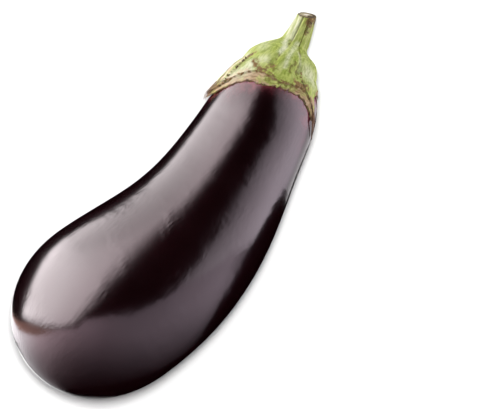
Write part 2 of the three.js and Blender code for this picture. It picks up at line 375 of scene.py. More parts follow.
def make_skin_material():
    """Waxed aubergine skin: a dark pigment under a smooth clear cuticle."""
    made, tree, shader = new_material("waxy_aubergine_skin")
    cork = coated(tree, "#3f2c18", ("#c9ad80", speckle(tree, 1.4, 4)))
    colour = coated(
        tree, "#0d0103", ("#170205", speckle(tree, 34)), ("#8a3f4a", pink_share(tree)), (cork, "scar"),
    )
    wax = add(tree, "ShaderNodeMapRange", {"Value": speckle(tree, 9, 3), "To Min": 0.13, "To Max": 0.2})
    dull = add(tree, "ShaderNodeMix", {"Factor": "scar", "A": wax, "B": 0.8})
    bump = add(tree, "ShaderNodeBump", {"Strength": 1.0, "Distance": BUMP_UNIT, "Height": skin_relief(tree)})
    connect(tree, shader, {"Base Color": colour, "Roughness": dull, "IOR": 1.46, "Normal": bump})
    return made


skin_material = make_skin_material()
print("material:", skin_material.name)

# %% [markdown]
# ## The fruit
# A lathe would make a straight fruit. This one is bent, so a round profile is swept along the
# spine instead: Geometry Nodes scale the profile by the radius kept on each spine point, and hold
# its side level all the way. Then faint dents are pushed into the skin, and the underside is
# pressed flat where the weight rests.

# %% The sweep tree
SKIN_SIZES = {
    "Sides": 176,
    "Dent depth": 0.25 * MM,
    "Dent width": 30 * MM,
    "Press softness": 0.4 * MM,
    "Seed": 4.0,
}
POLE_GAP = 0.002 * MM                # points closer than this are one, so the poles are closed


def sweep_round(tree, path, sides, fill_caps=False):
    """A round profile swept along a path, as wide at each point as the radius kept there."""
    radius = add(tree, "GeometryNodeInputNamedAttribute", {"Name": "radius"}, data_type="FLOAT")
    profile = add(tree, "GeometryNodeCurvePrimitiveCircle", {"Resolution": sides, "Radius": 1.0})
    return add(tree, "GeometryNodeCurveToMesh", {
        "Curve": path, "Profile Curve": profile, "Scale": radius, "Fill Caps": fill_caps,
    })


def make_fruit_tree(material):
    tree, given = new_tree("swept_fruit", SKIN_SIZES)
    spine = add(tree, "GeometryNodeMeshToCurve", {"Mesh": given["Geometry"]})
    level = add(tree, "GeometryNodeSetCurveNormal", {"Curve": spine}, mode="Z_UP")
    swept = sweep_round(tree, level, given["Sides"])
    closed = add(tree, "GeometryNodeMergeByDistance", {"Geometry": swept, "Distance": POLE_GAP})
    position = add(tree, "GeometryNodeInputPosition")
    frequency = add(tree, "ShaderNodeMath", {0: 1.0, 1: given["Dent width"]}, operation="DIVIDE")
    dents = add(tree, "ShaderNodeTexNoise", {
        "Vector": position, "W": given["Seed"], "Scale": frequency, "Detail": 1.0,
    }, noise_dimensions="4D")
    centred = add(tree, "ShaderNodeMath", {0: dents.outputs[0], 1: 0.5}, operation="SUBTRACT")
    depth = add(tree, "ShaderNodeMath", {0: centred, 1: given["Dent depth"]}, operation="MULTIPLY")
    normal = add(tree, "GeometryNodeInputNormal")
    push = add(tree, "ShaderNodeVectorMath", {"Vector": normal, "Scale": depth}, operation="SCALE")
    dented = add(tree, "GeometryNodeSetPosition", {"Geometry": closed, "Offset": push})
    split = add(tree, "ShaderNodeSeparateXYZ", {0: position})
    lifted = add(tree, "ShaderNodeMath", {0: split.outputs[2], 1: 0.0, 2: given["Press softness"]},
                 operation="SMOOTH_MAX")
    pressed = add(tree, "ShaderNodeCombineXYZ", {0: split.outputs[0], 1: split.outputs[1], 2: lifted})
    rested = add(tree, "GeometryNodeSetPosition", {"Geometry": dented, "Position": pressed})
    return end_tree(tree, rested, material)


print("skin sizes:", SKIN_SIZES)

# %% [markdown]
# ## The swept skin
# The tree needs only a line of points with a radius on each. The points stand closer together
# towards both ends, where the radius changes fast, so the ends come out round.

# %% Sweep the skin
SPINE_RINGS = 240


def chain(start, end):
    """Edges that join neighbouring points into a line."""
    return [(i, i + 1) for i in range(start, end - 1)]


def make_fruit():
    turn = np.linspace(0, math.pi, SPINE_RINGS + 1)
    stations = FRUIT_LENGTH * (1 - np.cos(turn)) / 2
    points = to_scene(spine_points(stations))
    fruit = make_object("fruit_skin", points.tolist(), chain(0, len(points)), [])
    give(fruit.data, "radius", fruit_radius(stations) * MM)
    grow(fruit, make_fruit_tree(skin_material), SKIN_SIZES)
    return fruit


fruit = make_fruit()
print("skin from", fruit.data.vertices[0].co[:], "to", fruit.data.vertices[-1].co[:])

# %% [markdown]
# ## The calyx's measures
# The calyx is the leafy cup that held the flower. It fits the top of the fruit like a cap, with
# six lobes of very different length, and below them a thin rim clings to the skin. A reach is a
# distance down the fruit from its top, and an angle runs round the fruit from the hollow side of
# its bend (0) over its upper side (90). Each corner is a notch or, every second one, a lobe's tip.
# It says where its line runs on the stem, the shoulder and the rim, how far down the lobe and the
# rim reach, and how high the lobe lifts off the skin. A tip may have a keel and may curl up.

# %% Measures of the calyx
CORNERS = [
    dict(stem=76, shoulder=69, angle=63, lobe=13.0, rim=18.3, lift=1.7),
    dict(stem=93, shoulder=86, angle=90, lobe=13.1, rim=15.2, lift=1.7, keel=0.5),
    dict(stem=111, shoulder=103, angle=117.5, lobe=10.8, rim=14.2, lift=1.6, bow=2),
    dict(stem=138, shoulder=131, angle=151, lobe=19.0, rim=20.6, lift=1.3, keel=0.2, curl=0.2, bow=-11),
    dict(stem=160, shoulder=158, angle=163, lobe=7.0, rim=8.6, lift=1.2),
    dict(stem=178, shoulder=180, angle=182, lobe=6.2, rim=7.6, lift=1.1),
    dict(stem=196, shoulder=199, angle=200, lobe=7.0, rim=8.6, lift=1.2),
    dict(stem=224, shoulder=228, angle=230, lobe=29.5, rim=31.2, lift=1.5, keel=0.6, curl=1.2),
    dict(stem=258, shoulder=262, angle=262, lobe=13.5, rim=18.0, lift=1.5),
    dict(stem=297, shoulder=300, angle=300, lobe=31.5, rim=33.3, lift=1.5, keel=0.7, curl=0.8),
    dict(stem=342, shoulder=340, angle=338, lobe=12.5, rim=17.5, lift=1.5),
    dict(stem=390, shoulder=393, angle=374, lobe=31.6, rim=33.4, lift=1.9, keel=0.7, curl=1.6),
]
FURROW_DEPTH = 0.5
FURROW_WIDTH = 0.16                  # share of the half lobe beside it
FURROW_BED = 0.35                    # how much of its depth is left to fall evenly over that half
MINOR_FURROW_DEPTH = 0.2
MINOR_FURROW_WIDTH = 0.12
CURL_FROM = 0.7                      # the share of a tip's reach at which it starts to lift
CURL_TO = 1.05
CURL_POWER = 1.5                     # more than 1 keeps the start of the curl low
KEEL_START = 0.2                     # how far up its sine the keel is at the shoulder
HOLLOW_SHOULDER = dict(reach=9.8, lift=2.9, drop=5.4, out=2.6, rise=11.2, back=1.9)
FAR_SHOULDER = dict(reach=3.6, lift=1.5, drop=5.3, out=-0.5, rise=9.8, back=1.9)
STEM_FOOT = (9, 3.1, 0.3)            # along the fruit's axis from its top, sideways, up
STEM_MIDDLE = (15.5, 3.4, 0.6)
STEM_CUT = (21.9, 4.3, 3.2)
STEM_FOOT_RADIUS = 6.5
STEM_CUT_RADIUS = 4.35
STEM_FLARE = 1.15                    # exponent of its widening towards the foot
CUT_FACING = (0.86, 0.3, 0.41)
BARK_RING_HEIGHT = 0.15
BARK_RING_AT = 0.06                  # its place, as a share of the way from the rim to the middle
BARK_RING_WIDTH = 0.05
CUT_DIP = 0.25
CUT_DIP_SLOPE = (0.08, 0.3)          # shares over which the cut sinks
PITH_RISE = 0.55
PITH_SLOPE = (0.35, 0.8)             # and over which the pith rises
BAND_LIFT = 1.0                      # the rim band's height over the skin where it leaves a lobe
RIM_LIFT = 0.45                      # and at its thin lower edge
UNDERSIDE_LIFT = 0.03
OVERLAP = 0.3                        # how far the band starts below the lobe's edge
HALF_LOBE_SIDES = 34
SLOPE_STEP = 0.01                    # the fruit's slope is measured over twice this distance

print(len(CORNERS) // 2, "lobes, the longest", max(corner["lobe"] for corner in CORNERS), "mm")

# %% [markdown]
# ## Places near the fruit's top
# A reach and an angle name a place on the skin, and a lift raises it square to the skin there. The
# stem stands clear of the skin, so its places are given along the fruit's axis and across it.

# %% Places near the fruit's top
TOP_ORIGIN = spine_points(np.array([FRUIT_LENGTH]))[0]
TOP_ALONG = spine_direction(np.array(float(FRUIT_LENGTH)))
TOP_SIDE, TOP_UP = across(TOP_ALONG)


def unit(vectors):
    return vectors / np.linalg.norm(vectors, axis=-1, keepdims=True)


def spread(values, vector):
    """One number for each point, times one vector for all of them or for each."""
    return np.asarray(values, float)[..., None] * vector


def outward(angle):
    """The direction square to the axis at the fruit's top, at an angle round it."""
    turn = np.radians(angle)
    return spread(np.cos(turn), TOP_SIDE) + spread(np.sin(turn), TOP_UP)


def skin_point(reach, angle, lift):
    """A point of the fruit's skin near its top, raised square to the skin."""
    station = FRUIT_LENGTH - reach
    nudge = np.minimum(SLOPE_STEP, reach / 2)
    slope = (fruit_radius(station + nudge) - fruit_radius(station - nudge)) / (2 * nudge)
    arm = outward(angle)
    foot = TOP_ORIGIN - spread(reach, TOP_ALONG) + spread(fruit_radius(station), arm)
    return foot + spread(lift, unit(arm - spread(slope, TOP_ALONG)))


def from_top(place):
    """A place given along the fruit's axis from its top, sideways and up."""
    along, side, up = place
    return TOP_ORIGIN + along * TOP_ALONG + side * TOP_SIDE + up * TOP_UP


print("fruit's top at", to_scene(TOP_ORIGIN).round(4), "m")

# %% [markdown]
# ## Meridians
# Every line that runs from the stem down to the rim is a meridian. The grooves of the stem run
# down to the notches, and the ridges between them to the lobes' tips. Thirty-four meridians fill
# the space from a notch to a tip, and each knows how far it has come on that way. The edges are
# dry and a little ragged, so a seeded ripple moves them in and out.

# %% Meridians
RIPPLE_WAVES = 7
LOBE_RIPPLE = dict(depth=0.18, seed=5, finest=60)      # finest is its most waves in a full turn
RIM_RIPPLE = dict(depth=0.3, seed=8, finest=90)


def pointed(to_tip):
    """Outline of half a lobe: it leaves the notch gently and ends in a point."""
    return 0.5 * smoothstep(to_tip, 0, 1) + 0.5 * to_tip ** 2.5


def ripple(angle, depth, seed, finest):
    """Irregular waviness round a full turn, up to about a depth each way, from seeded waves."""
    draw = np.random.default_rng(seed)
    waves = draw.integers(finest // 4, finest, RIPPLE_WAVES)
    phases = draw.uniform(0, 2 * math.pi, RIPPLE_WAVES)
    swings = sum(np.sin(np.radians(angle) * n + phase) for n, phase in zip(waves, phases))
    return depth * (swings / math.sqrt(RIPPLE_WAVES))


def make_meridians():
    columns = []
    for i, start in enumerate(CORNERS):
        end = dict(CORNERS[(i + 1) % len(CORNERS)])
        if i + 1 == len(CORNERS):
            for name in ("stem", "shoulder", "angle"):
                end[name] += 360
        notch, tip = (start, end) if i % 2 == 0 else (end, start)
        for share in np.arange(HALF_LOBE_SIDES) / HALF_LOBE_SIDES:
            to_tip = share if i % 2 == 0 else 1 - share
            point = pointed(to_tip)
            bow = start.get("bow", 0) * math.sin(math.pi * share)
            columns.append(dict(
                to_tip=to_tip,
                stem=blend(start["stem"], end["stem"], share),
                shoulder=blend(start["shoulder"], end["shoulder"], share),
                angle=blend(start["angle"], end["angle"], share) + bow,
                lobe=blend(notch["lobe"], tip["lobe"], point),
                rim=blend(notch["rim"], tip["rim"], point),
                lift=blend(notch["lift"], tip["lift"], to_tip),
                keel=tip.get("keel", 0) * to_tip,
                curl=tip.get("curl", 0),
                tip_reach=tip["rim"],
            ))
    table = {name: np.array([column[name] for column in columns]) for name in columns[0]}
    table["lobe"] = table["lobe"] + ripple(table["angle"], **LOBE_RIPPLE)
    table["rim"] = table["rim"] + ripple(table["angle"], **RIM_RIPPLE)
    return table


LINES = make_meridians()
print(len(LINES["angle"]), "meridians")

# %% [markdown]
# ## From stem to rim
# Four stretches follow each other down a meridian: the grooved stem, the hollow sweep where it
# widens into the shoulder, the thick lobe with its ridge, and the thin rim band. The stem is ribbed:
# a deep furrow runs down to each notch, and a fine groove down to each lobe.

# %% The stem
def furrow(to_tip):
    """Depth of the furrow between two lobes: deepest on the notch line."""
    return FURROW_DEPTH * (bell(to_tip, 0, FURROW_WIDTH) + FURROW_BED * (1 - to_tip))


def minor_furrow(to_tip):
    """A fine groove of the stem above each lobe's ridge."""
    return MINOR_FURROW_DEPTH * bell(to_tip, 1, MINOR_FURROW_WIDTH)


def stem_axis(share):
    """The middle of the stem, from its foot (0) to the cut (1), and the way it runs there."""
    foot, middle, cut = (from_top(place) for place in (STEM_FOOT, STEM_MIDDLE, STEM_CUT))
    place = (1 - share) ** 2 * foot + 2 * share * (1 - share) * middle + share ** 2 * cut
    return place, unit(2 * (1 - share) * (middle - foot) + 2 * share * (cut - middle))


FACING = unit(CUT_FACING[0] * TOP_ALONG + CUT_FACING[1] * TOP_SIDE + CUT_FACING[2] * TOP_UP)


def stem_point(share):
    """The ribbed stem, from its foot (0) to the slanting cut (1)."""
    centre, along = stem_axis(share)
    side = unit(TOP_SIDE - TOP_SIDE.dot(along) * along)
    up = np.cross(along, side)
    turn = np.radians(LINES["stem"])
    to_tip = LINES["to_tip"]
    swell = (STEM_FOOT_RADIUS - STEM_CUT_RADIUS) * (1 - share) ** STEM_FLARE
    radius = STEM_CUT_RADIUS + swell - furrow(to_tip) - minor_furrow(to_tip) * (1 - share)
    arm = spread(radius * np.cos(turn), side) + spread(radius * np.sin(turn), up)
    slant = -(arm @ FACING) / along.dot(FACING)
    return centre + arm + spread(slant * share ** 3, along)


print("the cut is", 2 * STEM_CUT_RADIUS, "mm across")

# %% [markdown]
# ## Shoulder and lobes
# The shoulder stands high on the hollow side of the bend and low on the far side. Each lobe runs
# down from it, and long ones curl up a little at their dry tips. The sweep is a Bezier curve, so it
# leaves the stem and meets the shoulder without a crease.

# %% Shoulder and lobes
def curled(reach):
    """How far the dry end of a lobe has lifted off the skin."""
    return LINES["curl"] * smoothstep(reach / LINES["tip_reach"], CURL_FROM, CURL_TO) ** CURL_POWER


def shoulder_of():
    """Each meridian's shoulder: between the one on the hollow side and the one far from it."""
    towards_far = (1 - np.cos(np.radians(LINES["shoulder"]))) / 2
    return {name: blend(HOLLOW_SHOULDER[name], FAR_SHOULDER[name], towards_far) for name in HOLLOW_SHOULDER}


def lobe_point(share):
    """A lobe's outer face, from the shoulder (0) to its edge (1)."""
    shoulder = shoulder_of()
    keel = LINES["keel"] * math.sin(math.pi * blend(KEEL_START, 1, share))
    reach = blend(shoulder["reach"], LINES["lobe"], share)
    angle = blend(LINES["shoulder"], LINES["angle"], share)
    lift = blend(shoulder["lift"], LINES["lift"], math.sqrt(share))
    lift = lift + keel - furrow(LINES["to_tip"]) * (1 - share)
    return skin_point(reach, angle, np.maximum(lift, BAND_LIFT) + curled(reach))


def sweep_point(share):
    """The hollow sweep from the stem's foot (0) down to the shoulder (1)."""
    shoulder = shoulder_of()
    foot = stem_point(0)
    lower = lobe_point(0)
    foot_arm = outward((LINES["stem"] + LINES["shoulder"]) / 2)
    lower_arm = outward(LINES["shoulder"])
    foot_handle = foot - spread(shoulder["drop"], TOP_ALONG) + spread(shoulder["out"], foot_arm)
    lower_handle = lower + spread(shoulder["rise"], TOP_ALONG) - spread(shoulder["back"], lower_arm)
    left = 1 - share
    return (left ** 3 * foot + 3 * left ** 2 * share * foot_handle
            + 3 * left * share ** 2 * lower_handle + share ** 3 * lower)


print("a lobe's edge lies", BAND_LIFT, "mm over the skin or higher")

# %% [markdown]
# ## Rim, underside and cut
# Three more stretches close the shape: the thin rim band, the underside that all but touches the
# skin, and the face of the cut, with a low ring of bark, a dip, and pith that stands a little proud.

# %% Rim, underside and cut
def band_point(share):
    """The thin rim band, from under the lobe's edge (0) to its lower edge (1)."""
    reach = blend(LINES["lobe"] + OVERLAP, LINES["rim"], share)
    return skin_point(reach, LINES["angle"], blend(BAND_LIFT, RIM_LIFT, share) + curled(reach))


def underside_point(share):
    """The underside, from the rim (0) to the fruit's top (1). Its lines run under the lobe's."""
    closing = FRUIT_LENGTH - NECK_STATION
    start = np.arcsin((1 - LINES["rim"] / closing) ** (TOP_ROUNDNESS / 2))
    turn = blend(start, math.pi / 2, share)
    reach = closing * (1 - np.sin(turn) ** (2 / TOP_ROUNDNESS))
    start_reach = shoulder_of()["reach"]
    to_edge = np.clip((reach - start_reach) / (LINES["lobe"] - start_reach), 0, 1)
    angle = blend(LINES["shoulder"], LINES["angle"], to_edge)
    return skin_point(reach, angle, UNDERSIDE_LIFT + curled(reach))


def cut_point(share):
    """The cut face, from its rim (0) to near its middle (1): a bark ring, a dip and a low pith."""
    edge = stem_point(1)
    centre, _ = stem_axis(1)
    ring = BARK_RING_HEIGHT * bell(share, BARK_RING_AT, BARK_RING_WIDTH)
    dip = CUT_DIP * smoothstep(share, *CUT_DIP_SLOPE)
    pith = PITH_RISE * smoothstep(share, *PITH_SLOPE)
    return centre + (edge - centre) * (1 - share) + (ring - dip + pith) * FACING


print("the stem's middle at the cut:", to_scene(stem_axis(1)[0]).round(4), "m")

# %% [markdown]
# ## Loft the calyx
# All rows go into one closed skin: down the underside, round the rim, up the lobes and the stem,
# and across the cut. The rows stay in order, so a formula can say what happens on each stretch of
# the way, and at each meridian, both for the relief and for the colours that come after it.

# %% Loft the calyx
LAST_UNDERSIDE_SHARE = 0.97          # the underside closes with a small fan round the fruit's top
STRETCHES = {
    "underside": (underside_point, LAST_UNDERSIDE_SHARE * np.linspace(1, 0, 10)),
    "band": (band_point, np.linspace(1, 0, 9)),
    "lobe": (lobe_point, np.linspace(1, 0, 48)),
    "sweep": (sweep_point, np.linspace(1, 0, 41)[1:]),
    "stem": (stem_point, np.linspace(0, 1, 41)[1:]),
    "cut": (cut_point, np.linspace(0, 1, 17)[1:-1]),
}
ROW_STRETCH = np.concatenate([[name] * len(shares) for name, (_, shares) in STRETCHES.items()])
ROW_SHARE = np.concatenate([shares for _, shares in STRETCHES.values()])
ROWS = len(ROW_SHARE)
COLUMNS = len(LINES["angle"])


def loft_faces():
    """Quads between neighbouring rows, and a fan to one closing point at each end."""
    faces = []
    first, last = ROWS * COLUMNS, ROWS * COLUMNS + 1
    top = (ROWS - 1) * COLUMNS
    for column in range(COLUMNS):
        beside = (column + 1) % COLUMNS
        faces.append((first, beside, column))
        for here in range(0, top, COLUMNS):
            above = here + COLUMNS
            faces.append((here + column, here + beside, above + beside, above + column))
        faces.append((last, top + column, top + beside))
    return faces


def make_calyx():
    rows = np.array([place(share) for place, shares in STRETCHES.values() for share in shares])
    points = np.vstack([rows.reshape(-1, 3), rows[0].mean(axis=0), rows[-1].mean(axis=0)])
    calyx = make_object("calyx_and_stem", to_scene(points).tolist(), [], loft_faces())
    calyx.data.shade_smooth()
    return calyx


calyx = make_calyx()
print("calyx:", len(calyx.data.vertices), "points in", ROWS, "rows")

# %% [markdown]
# ## Points of a mesh
# From here on, the finished meshes are worked on point by point: their points are read, pushed in
# or out along their normals, and given numbers to keep.

# %% Points of a mesh
def read_vectors(items, name):
    """Three numbers kept on each of a mesh's items, as rows."""
    values = np.empty(3 * len(items))
    items.foreach_get(name, values)
    return values.reshape(-1, 3)


def read_points(mesh):
    return read_vectors(mesh.vertices, "co")


def push_points(mesh, heights):
    """Move each point of a mesh along its own normal, by a height in millimetres."""
    moved = read_points(mesh) + spread(heights * MM, read_vectors(mesh.vertex_normals, "vector"))
    mesh.vertices.foreach_set("co", moved.ravel())
    mesh.update()


def give_vectors(mesh, name, vectors):
    """Keep three numbers for each point of a mesh."""
    mesh.attributes.new(name, "FLOAT_VECTOR", "POINT").data.foreach_set("vector", vectors.ravel())


print("calyx from", read_points(calyx.data).min(axis=0).round(4), "m")

# %% [markdown]
# ## Where a point is
# A place on the calyx is known in two ways: by its row and column, which say how far down its
# stretch and its meridian it is, and by its height and angle round the fruit's axis. The fibres
# need a third one, in which distances along them shrink.

# %% Where a point is
FIBRE_STRETCH = 0.14                 # the fibres are about seven times as long as they are wide
BAND_WIDTH = 4.5


def over_rows(values):
    """One number for each row or each row and column, as one for each point of the calyx."""
    grid = np.broadcast_to(values, (ROWS, COLUMNS))
    return np.concatenate([grid.ravel(), [grid[0].mean(), grid[-1].mean()]])


def on(name, at_start, at_end):
    """A number for each row: it runs along one stretch and is 0 on the others."""
    return np.where(ROW_STRETCH == name, blend(at_start, at_end, ROW_SHARE), 0)[:, None]


OUTSIDE = on("lobe", 1, 1) + on("sweep", 1, 1) + on("stem", 1, 1)


def round_the_axis(points):
    """Height over the fruit's top along its axis, angle round it, and distance from it."""
    place = points / MM - SHIFT - TOP_ORIGIN
    side, up = place @ TOP_SIDE, place @ TOP_UP
    return place @ TOP_ALONG, np.degrees(np.arctan2(up, side)), np.hypot(side, up)


def fibre_coordinates(points):
    """Places whose distances shrink along the fibres: down the leaf, but along the rim band."""
    height, angle, radius = round_the_axis(points)
    turn = np.radians(angle)
    ring = np.stack([radius * np.cos(turn), radius * np.sin(turn)], axis=-1)
    down = np.concatenate([ring, FIBRE_STRETCH * height[:, None]], axis=-1)
    across_band = over_rows(on("band", 0, BAND_WIDTH))[:, None]
    along_band = np.concatenate([FIBRE_STRETCH * ring, across_band], axis=-1)
    on_band = over_rows(on("band", 1, 1))[:, None]
    return np.where(on_band > 0, along_band, down)


print(int(over_rows(OUTSIDE).sum()), "points on the outside of the calyx")

# %% [markdown]
# ## Relief of the calyx
# Close up, the calyx is leathery. Fine fibres run from the stem down into the lobes, the leaf
# swells between its veins, and the dried rim is cockled. These small shapes are real relief: each
# point is pushed along its own normal. The noise reads coordinates that are stretched along the
# fibres, and those are kept for the material too, so that colour and relief agree.

# %% Relief of the calyx
FIBRE_WIDTH = 1.1
FIBRE_DEPTH = 0.13
SWELLING_WIDTH = 5.0
SWELLING_DEPTH = 0.45
COCKLE_WIDTH = 1.7
COCKLE_DEPTH = 0.32
CUT_GRAIN_WIDTH = 0.7
CUT_GRAIN_DEPTH = 0.12
SEED_STEP = 17.3                     # how far apart two seeds read the noise


def uneven(points, size, seed=0):
    """Smooth noise from -1 to 1 at each point, with features about this many units wide."""
    moved = points / size + SEED_STEP * seed
    return np.array([noise.noise(Vector(point)) for point in moved])


def add_relief(calyx):
    points = read_points(calyx.data)
    fibres = fibre_coordinates(points)
    leafy = smoothstep(on("lobe", 1, 0), 0, 0.2) + on("sweep", 0, 1)
    cockled = smoothstep(on("lobe", 0, 1), 0.85, 1) + on("band", 1, 1)
    relief = FIBRE_DEPTH * over_rows(OUTSIDE) * uneven(fibres, FIBRE_WIDTH)
    relief += SWELLING_DEPTH * over_rows(leafy) * uneven(points / MM, SWELLING_WIDTH, 1)
    relief += COCKLE_DEPTH * over_rows(cockled) * uneven(points / MM, COCKLE_WIDTH, 2)
    relief += CUT_GRAIN_DEPTH * over_rows(on("cut", 1, 1)) * uneven(points / MM, CUT_GRAIN_WIDTH, 3)
    push_points(calyx.data, relief)
    give_vectors(calyx.data, "fibre", fibres * MM)


add_relief(calyx)
calyx_points = read_points(calyx.data) / MM
print("calyx box in mm:", calyx_points.min(axis=0).round(1), calyx_points.max(axis=0).round(1))

# %% [markdown]
# ## Strokes
# Part of the calyx's colours follows the plant's own history: cracks heal with brown cork, and
# edges and tips dry out to tan. Part is painted light and shade: painted highlights on ridges and
# facets, painted shade of a deeper olive in the furrows and under edges, painted shade in the brown
# line along the lobes' edges, and painted shadow in the gaps under lifted edges, beside near-black
# scorched places. Noise alone would put such marks anywhere, so each is a stroke, as of a brush:
# its width in millimetres, its strength, and a line of places, each given by its height over the
# fruit's top in millimetres and its angle round it in degrees.

# %% Strokes on the calyx
MARKS = {
    "dark": [
        # spots in the notches on both sides of the front lobe
        (0.6, 0.55, [(-10.3, 50), (-12.3, 58), (-10.4, 65)]),
        (0.8, 0.7, [(-7.6, 117), (-8.9, 122)]),
        # down the narrow lobe on the right
        (0.4, 0.9, [(-9.8, 125), (-11.8, 132), (-14.2, 140), (-17.9, 147)]),
        # between the midrib and the outer edge of the left lobe
        (0.4, 0.6, [(-20, 27), (-22.2, 25.4), (-25.2, 23)]),
        # the outer edge of the left lobe, which has rolled up, darker towards its tip
        (0.7, 0.7, [(-8, 6), (-13, 12), (-18, 19), (-21, 19)]),
        (1.5, 1.0, [(-21.5, 17), (-25, 18.5), (-28, 16.5), (-32, 12)]),
        # where the prickles start
        (0.6, 0.6, [(-8.1, 24), (-6.6, 27), (-5.5, 33)]),
        # bruised bark under the cut
        (0.5, 0.6, [(19.8, 43), (20, 51.5)]),
        (2.2, 0.75, [(21.6, 62), (21.9, 78), (21.6, 96)]),
        (1.6, 0.6, [(19.6, 70), (19, 82)]),
        (1.0, 0.6, [(18, 76), (14.5, 82)]),
    ],
    "brown": [
        # dried, cracked edges of the front lobes and the left one's outer edge, with painted shade below
        (0.5, 1.0, [(-31, 21), (-26, 26), (-23.1, 31), (-19, 42.5), (-17.4, 50), (-15.3, 60), (-13, 66)]),
        (0.5, 0.8, [(-10.8, 66), (-11.3, 73), (-11.7, 80.5), (-12, 88), (-11.6, 96), (-10.6, 104),
                    (-9.5, 113)]),
        (0.9, 0.8, [(-9, 4), (-14, 12), (-18, 15), (-22, 15), (-27, 13)]),
        # corky scars in the notches
        (1.9, 0.75, [(-8.8, 44), (-11.2, 54), (-13.2, 61)]),
        (1.8, 0.72, [(-12.5, 60), (-9.6, 66), (-7.4, 70)]),
        (2.8, 0.9, [(-9.7, 108), (-9.6, 116), (-9, 123)]),
        (1.2, 0.6, [(-4, 112), (-8, 118)]),
        (0.8, 0.5, [(-9.5, 126), (-14, 142), (-19, 149)]),
        (1.0, 0.7, [(-5.5, 33), (-6.8, 28), (-8.5, 27)]),
        # bark down from the cut
        (3.0, 0.85, [(21, 58), (21.2, 75), (21.6, 95)]),
        (2.4, 0.7, [(19, 68), (18.4, 82)]),
        (1.3, 0.6, [(17.5, 76), (14, 84)]),
    ],
    "painted_shade": [
        # painted shade: along the row of prickles, and in the hollows round the front lobe
        (1.4, 0.9, [(-7, 28), (-10, 27.5), (-15.2, 32), (-19.4, 30.5), (-25, 26)]),
        (2.0, 0.55, [(-6.5, 63), (-7.8, 68.6), (-8.7, 77)]),
        (1.3, 0.8, [(-11.5, 68), (-13, 80)]),
        (0.8, 0.9, [(-0.8, 95.6), (-3.4, 93), (-6.3, 94)]),
        (0.7, 0.8, [(-2.9, 102), (-5, 109)]),
    ],
    "dry": [
        (1.6, 0.45, [(-12.5, 57), (-8.5, 64)]),
        (2.0, 0.6, [(-9.6, 106), (-9.5, 122)]),
        (1.5, 0.9, [(-12, 137), (-16, 143), (-20, 150)]),
        (2.6, 0.8, [(-10, 19), (-14, 20), (-18, 23), (-22, 21), (-26, 18)]),
        (2.4, 0.7, [(-15, 50), (-18.5, 42), (-21, 36), (-24, 29)]),
        (1.6, 0.75, [(-26, 26), (-31, 18)]),
        (1.2, 0.7, [(21, 20), (20, 45)]),
        (1.6, 0.6, [(20.5, 60), (21, 72)]),
    ],
    "painted_highlight": [
        # painted highlights on the left lobe's facet, on ridges beside the grooves and on the stem's lit side
        (3.2, 1.0, [(-11, 44), (-14.5, 46), (-18.5, 38), (-20.5, 35)]),
        (2.0, 0.8, [(-17, 45), (-20.5, 37), (-24, 29)]),
        (2.2, 0.6, [(-7, 49), (-6, 54)]),
        (2.2, 0.8, [(-8, 19), (-16, 21), (-22, 21)]),
        (1.3, 1.0, [(18, 22), (12, 24), (6, 45), (3.4, 61), (-0.1, 64.6)]),
        (1.3, 0.9, [(19, 40), (14, 41), (9, 46)]),
        (1.1, 0.7, [(8, 74), (0.7, 80.5), (-2.2, 83), (-5, 84)]),
        (1.1, 0.5, [(4, 93), (0, 104), (-4, 110)]),
        (4.0, 0.7, [(-2, 125), (-4, 140)]),
        (3.0, 0.4, [(-1, 35), (2, 20)]),
    ],
}
print("strokes:", {name: len(strokes) for name, strokes in MARKS.items()})

# %% [markdown]
# ## How a stroke is painted
# Each of a stroke's places is the nearest point on the outside. The stroke runs straight from one
# to the next and fades over its width, and noise nudges every point first, so that no stroke has
# a ruled edge.

# %% Painting strokes
WANDER = 0.45                        # millimetres that noise moves the edges of the marks
WANDER_WIDTH = 2.2


def distance_to_line(points, line):
    """Distance from each point to the nearest place on a line of straight pieces."""
    nearest = np.full(len(points), np.inf)
    for start, end in zip(line[:-1], line[1:]):
        run = end - start
        share = np.clip((points - start) @ run / (run @ run), 0, 1)
        nearest = np.minimum(nearest, np.linalg.norm(points - start - spread(share, run), axis=-1))
    return nearest


def nearest_points(points, places, outside):
    """For each height and angle, the number of the nearest point among those on the outside."""
    height, angle, radius = round_the_axis(points)
    hidden = np.where(over_rows(outside) < 0.5, math.inf, 0)
    found = []
    for wanted_height, wanted_angle in places:
        arc = np.radians((angle - wanted_angle + 180) % 360 - 180) * radius
        found.append(np.argmin((height - wanted_height) ** 2 + arc ** 2 + hidden))
    return found


def paint_strokes(points, strokes):
    """The strongest stroke at each point."""
    painted = np.zeros(len(points))
    shifts = [uneven(points, WANDER_WIDTH, seed) for seed in (4, 5, 6)]
    nudged = points + WANDER * np.stack(shifts, axis=-1)
    for width, strength, places in strokes:
        line = points[nearest_points(points * MM, places, OUTSIDE)]
        painted = np.maximum(painted, strength * bell(distance_to_line(nudged, line), 0, width))
    return painted


calyx_points = read_points(calyx.data)
upper_edge = nearest_points(calyx_points, [(-12, 90)], OUTSIDE)
print("height -12 mm and angle 90 degrees is at", calyx_points[upper_edge].round(4), "m")
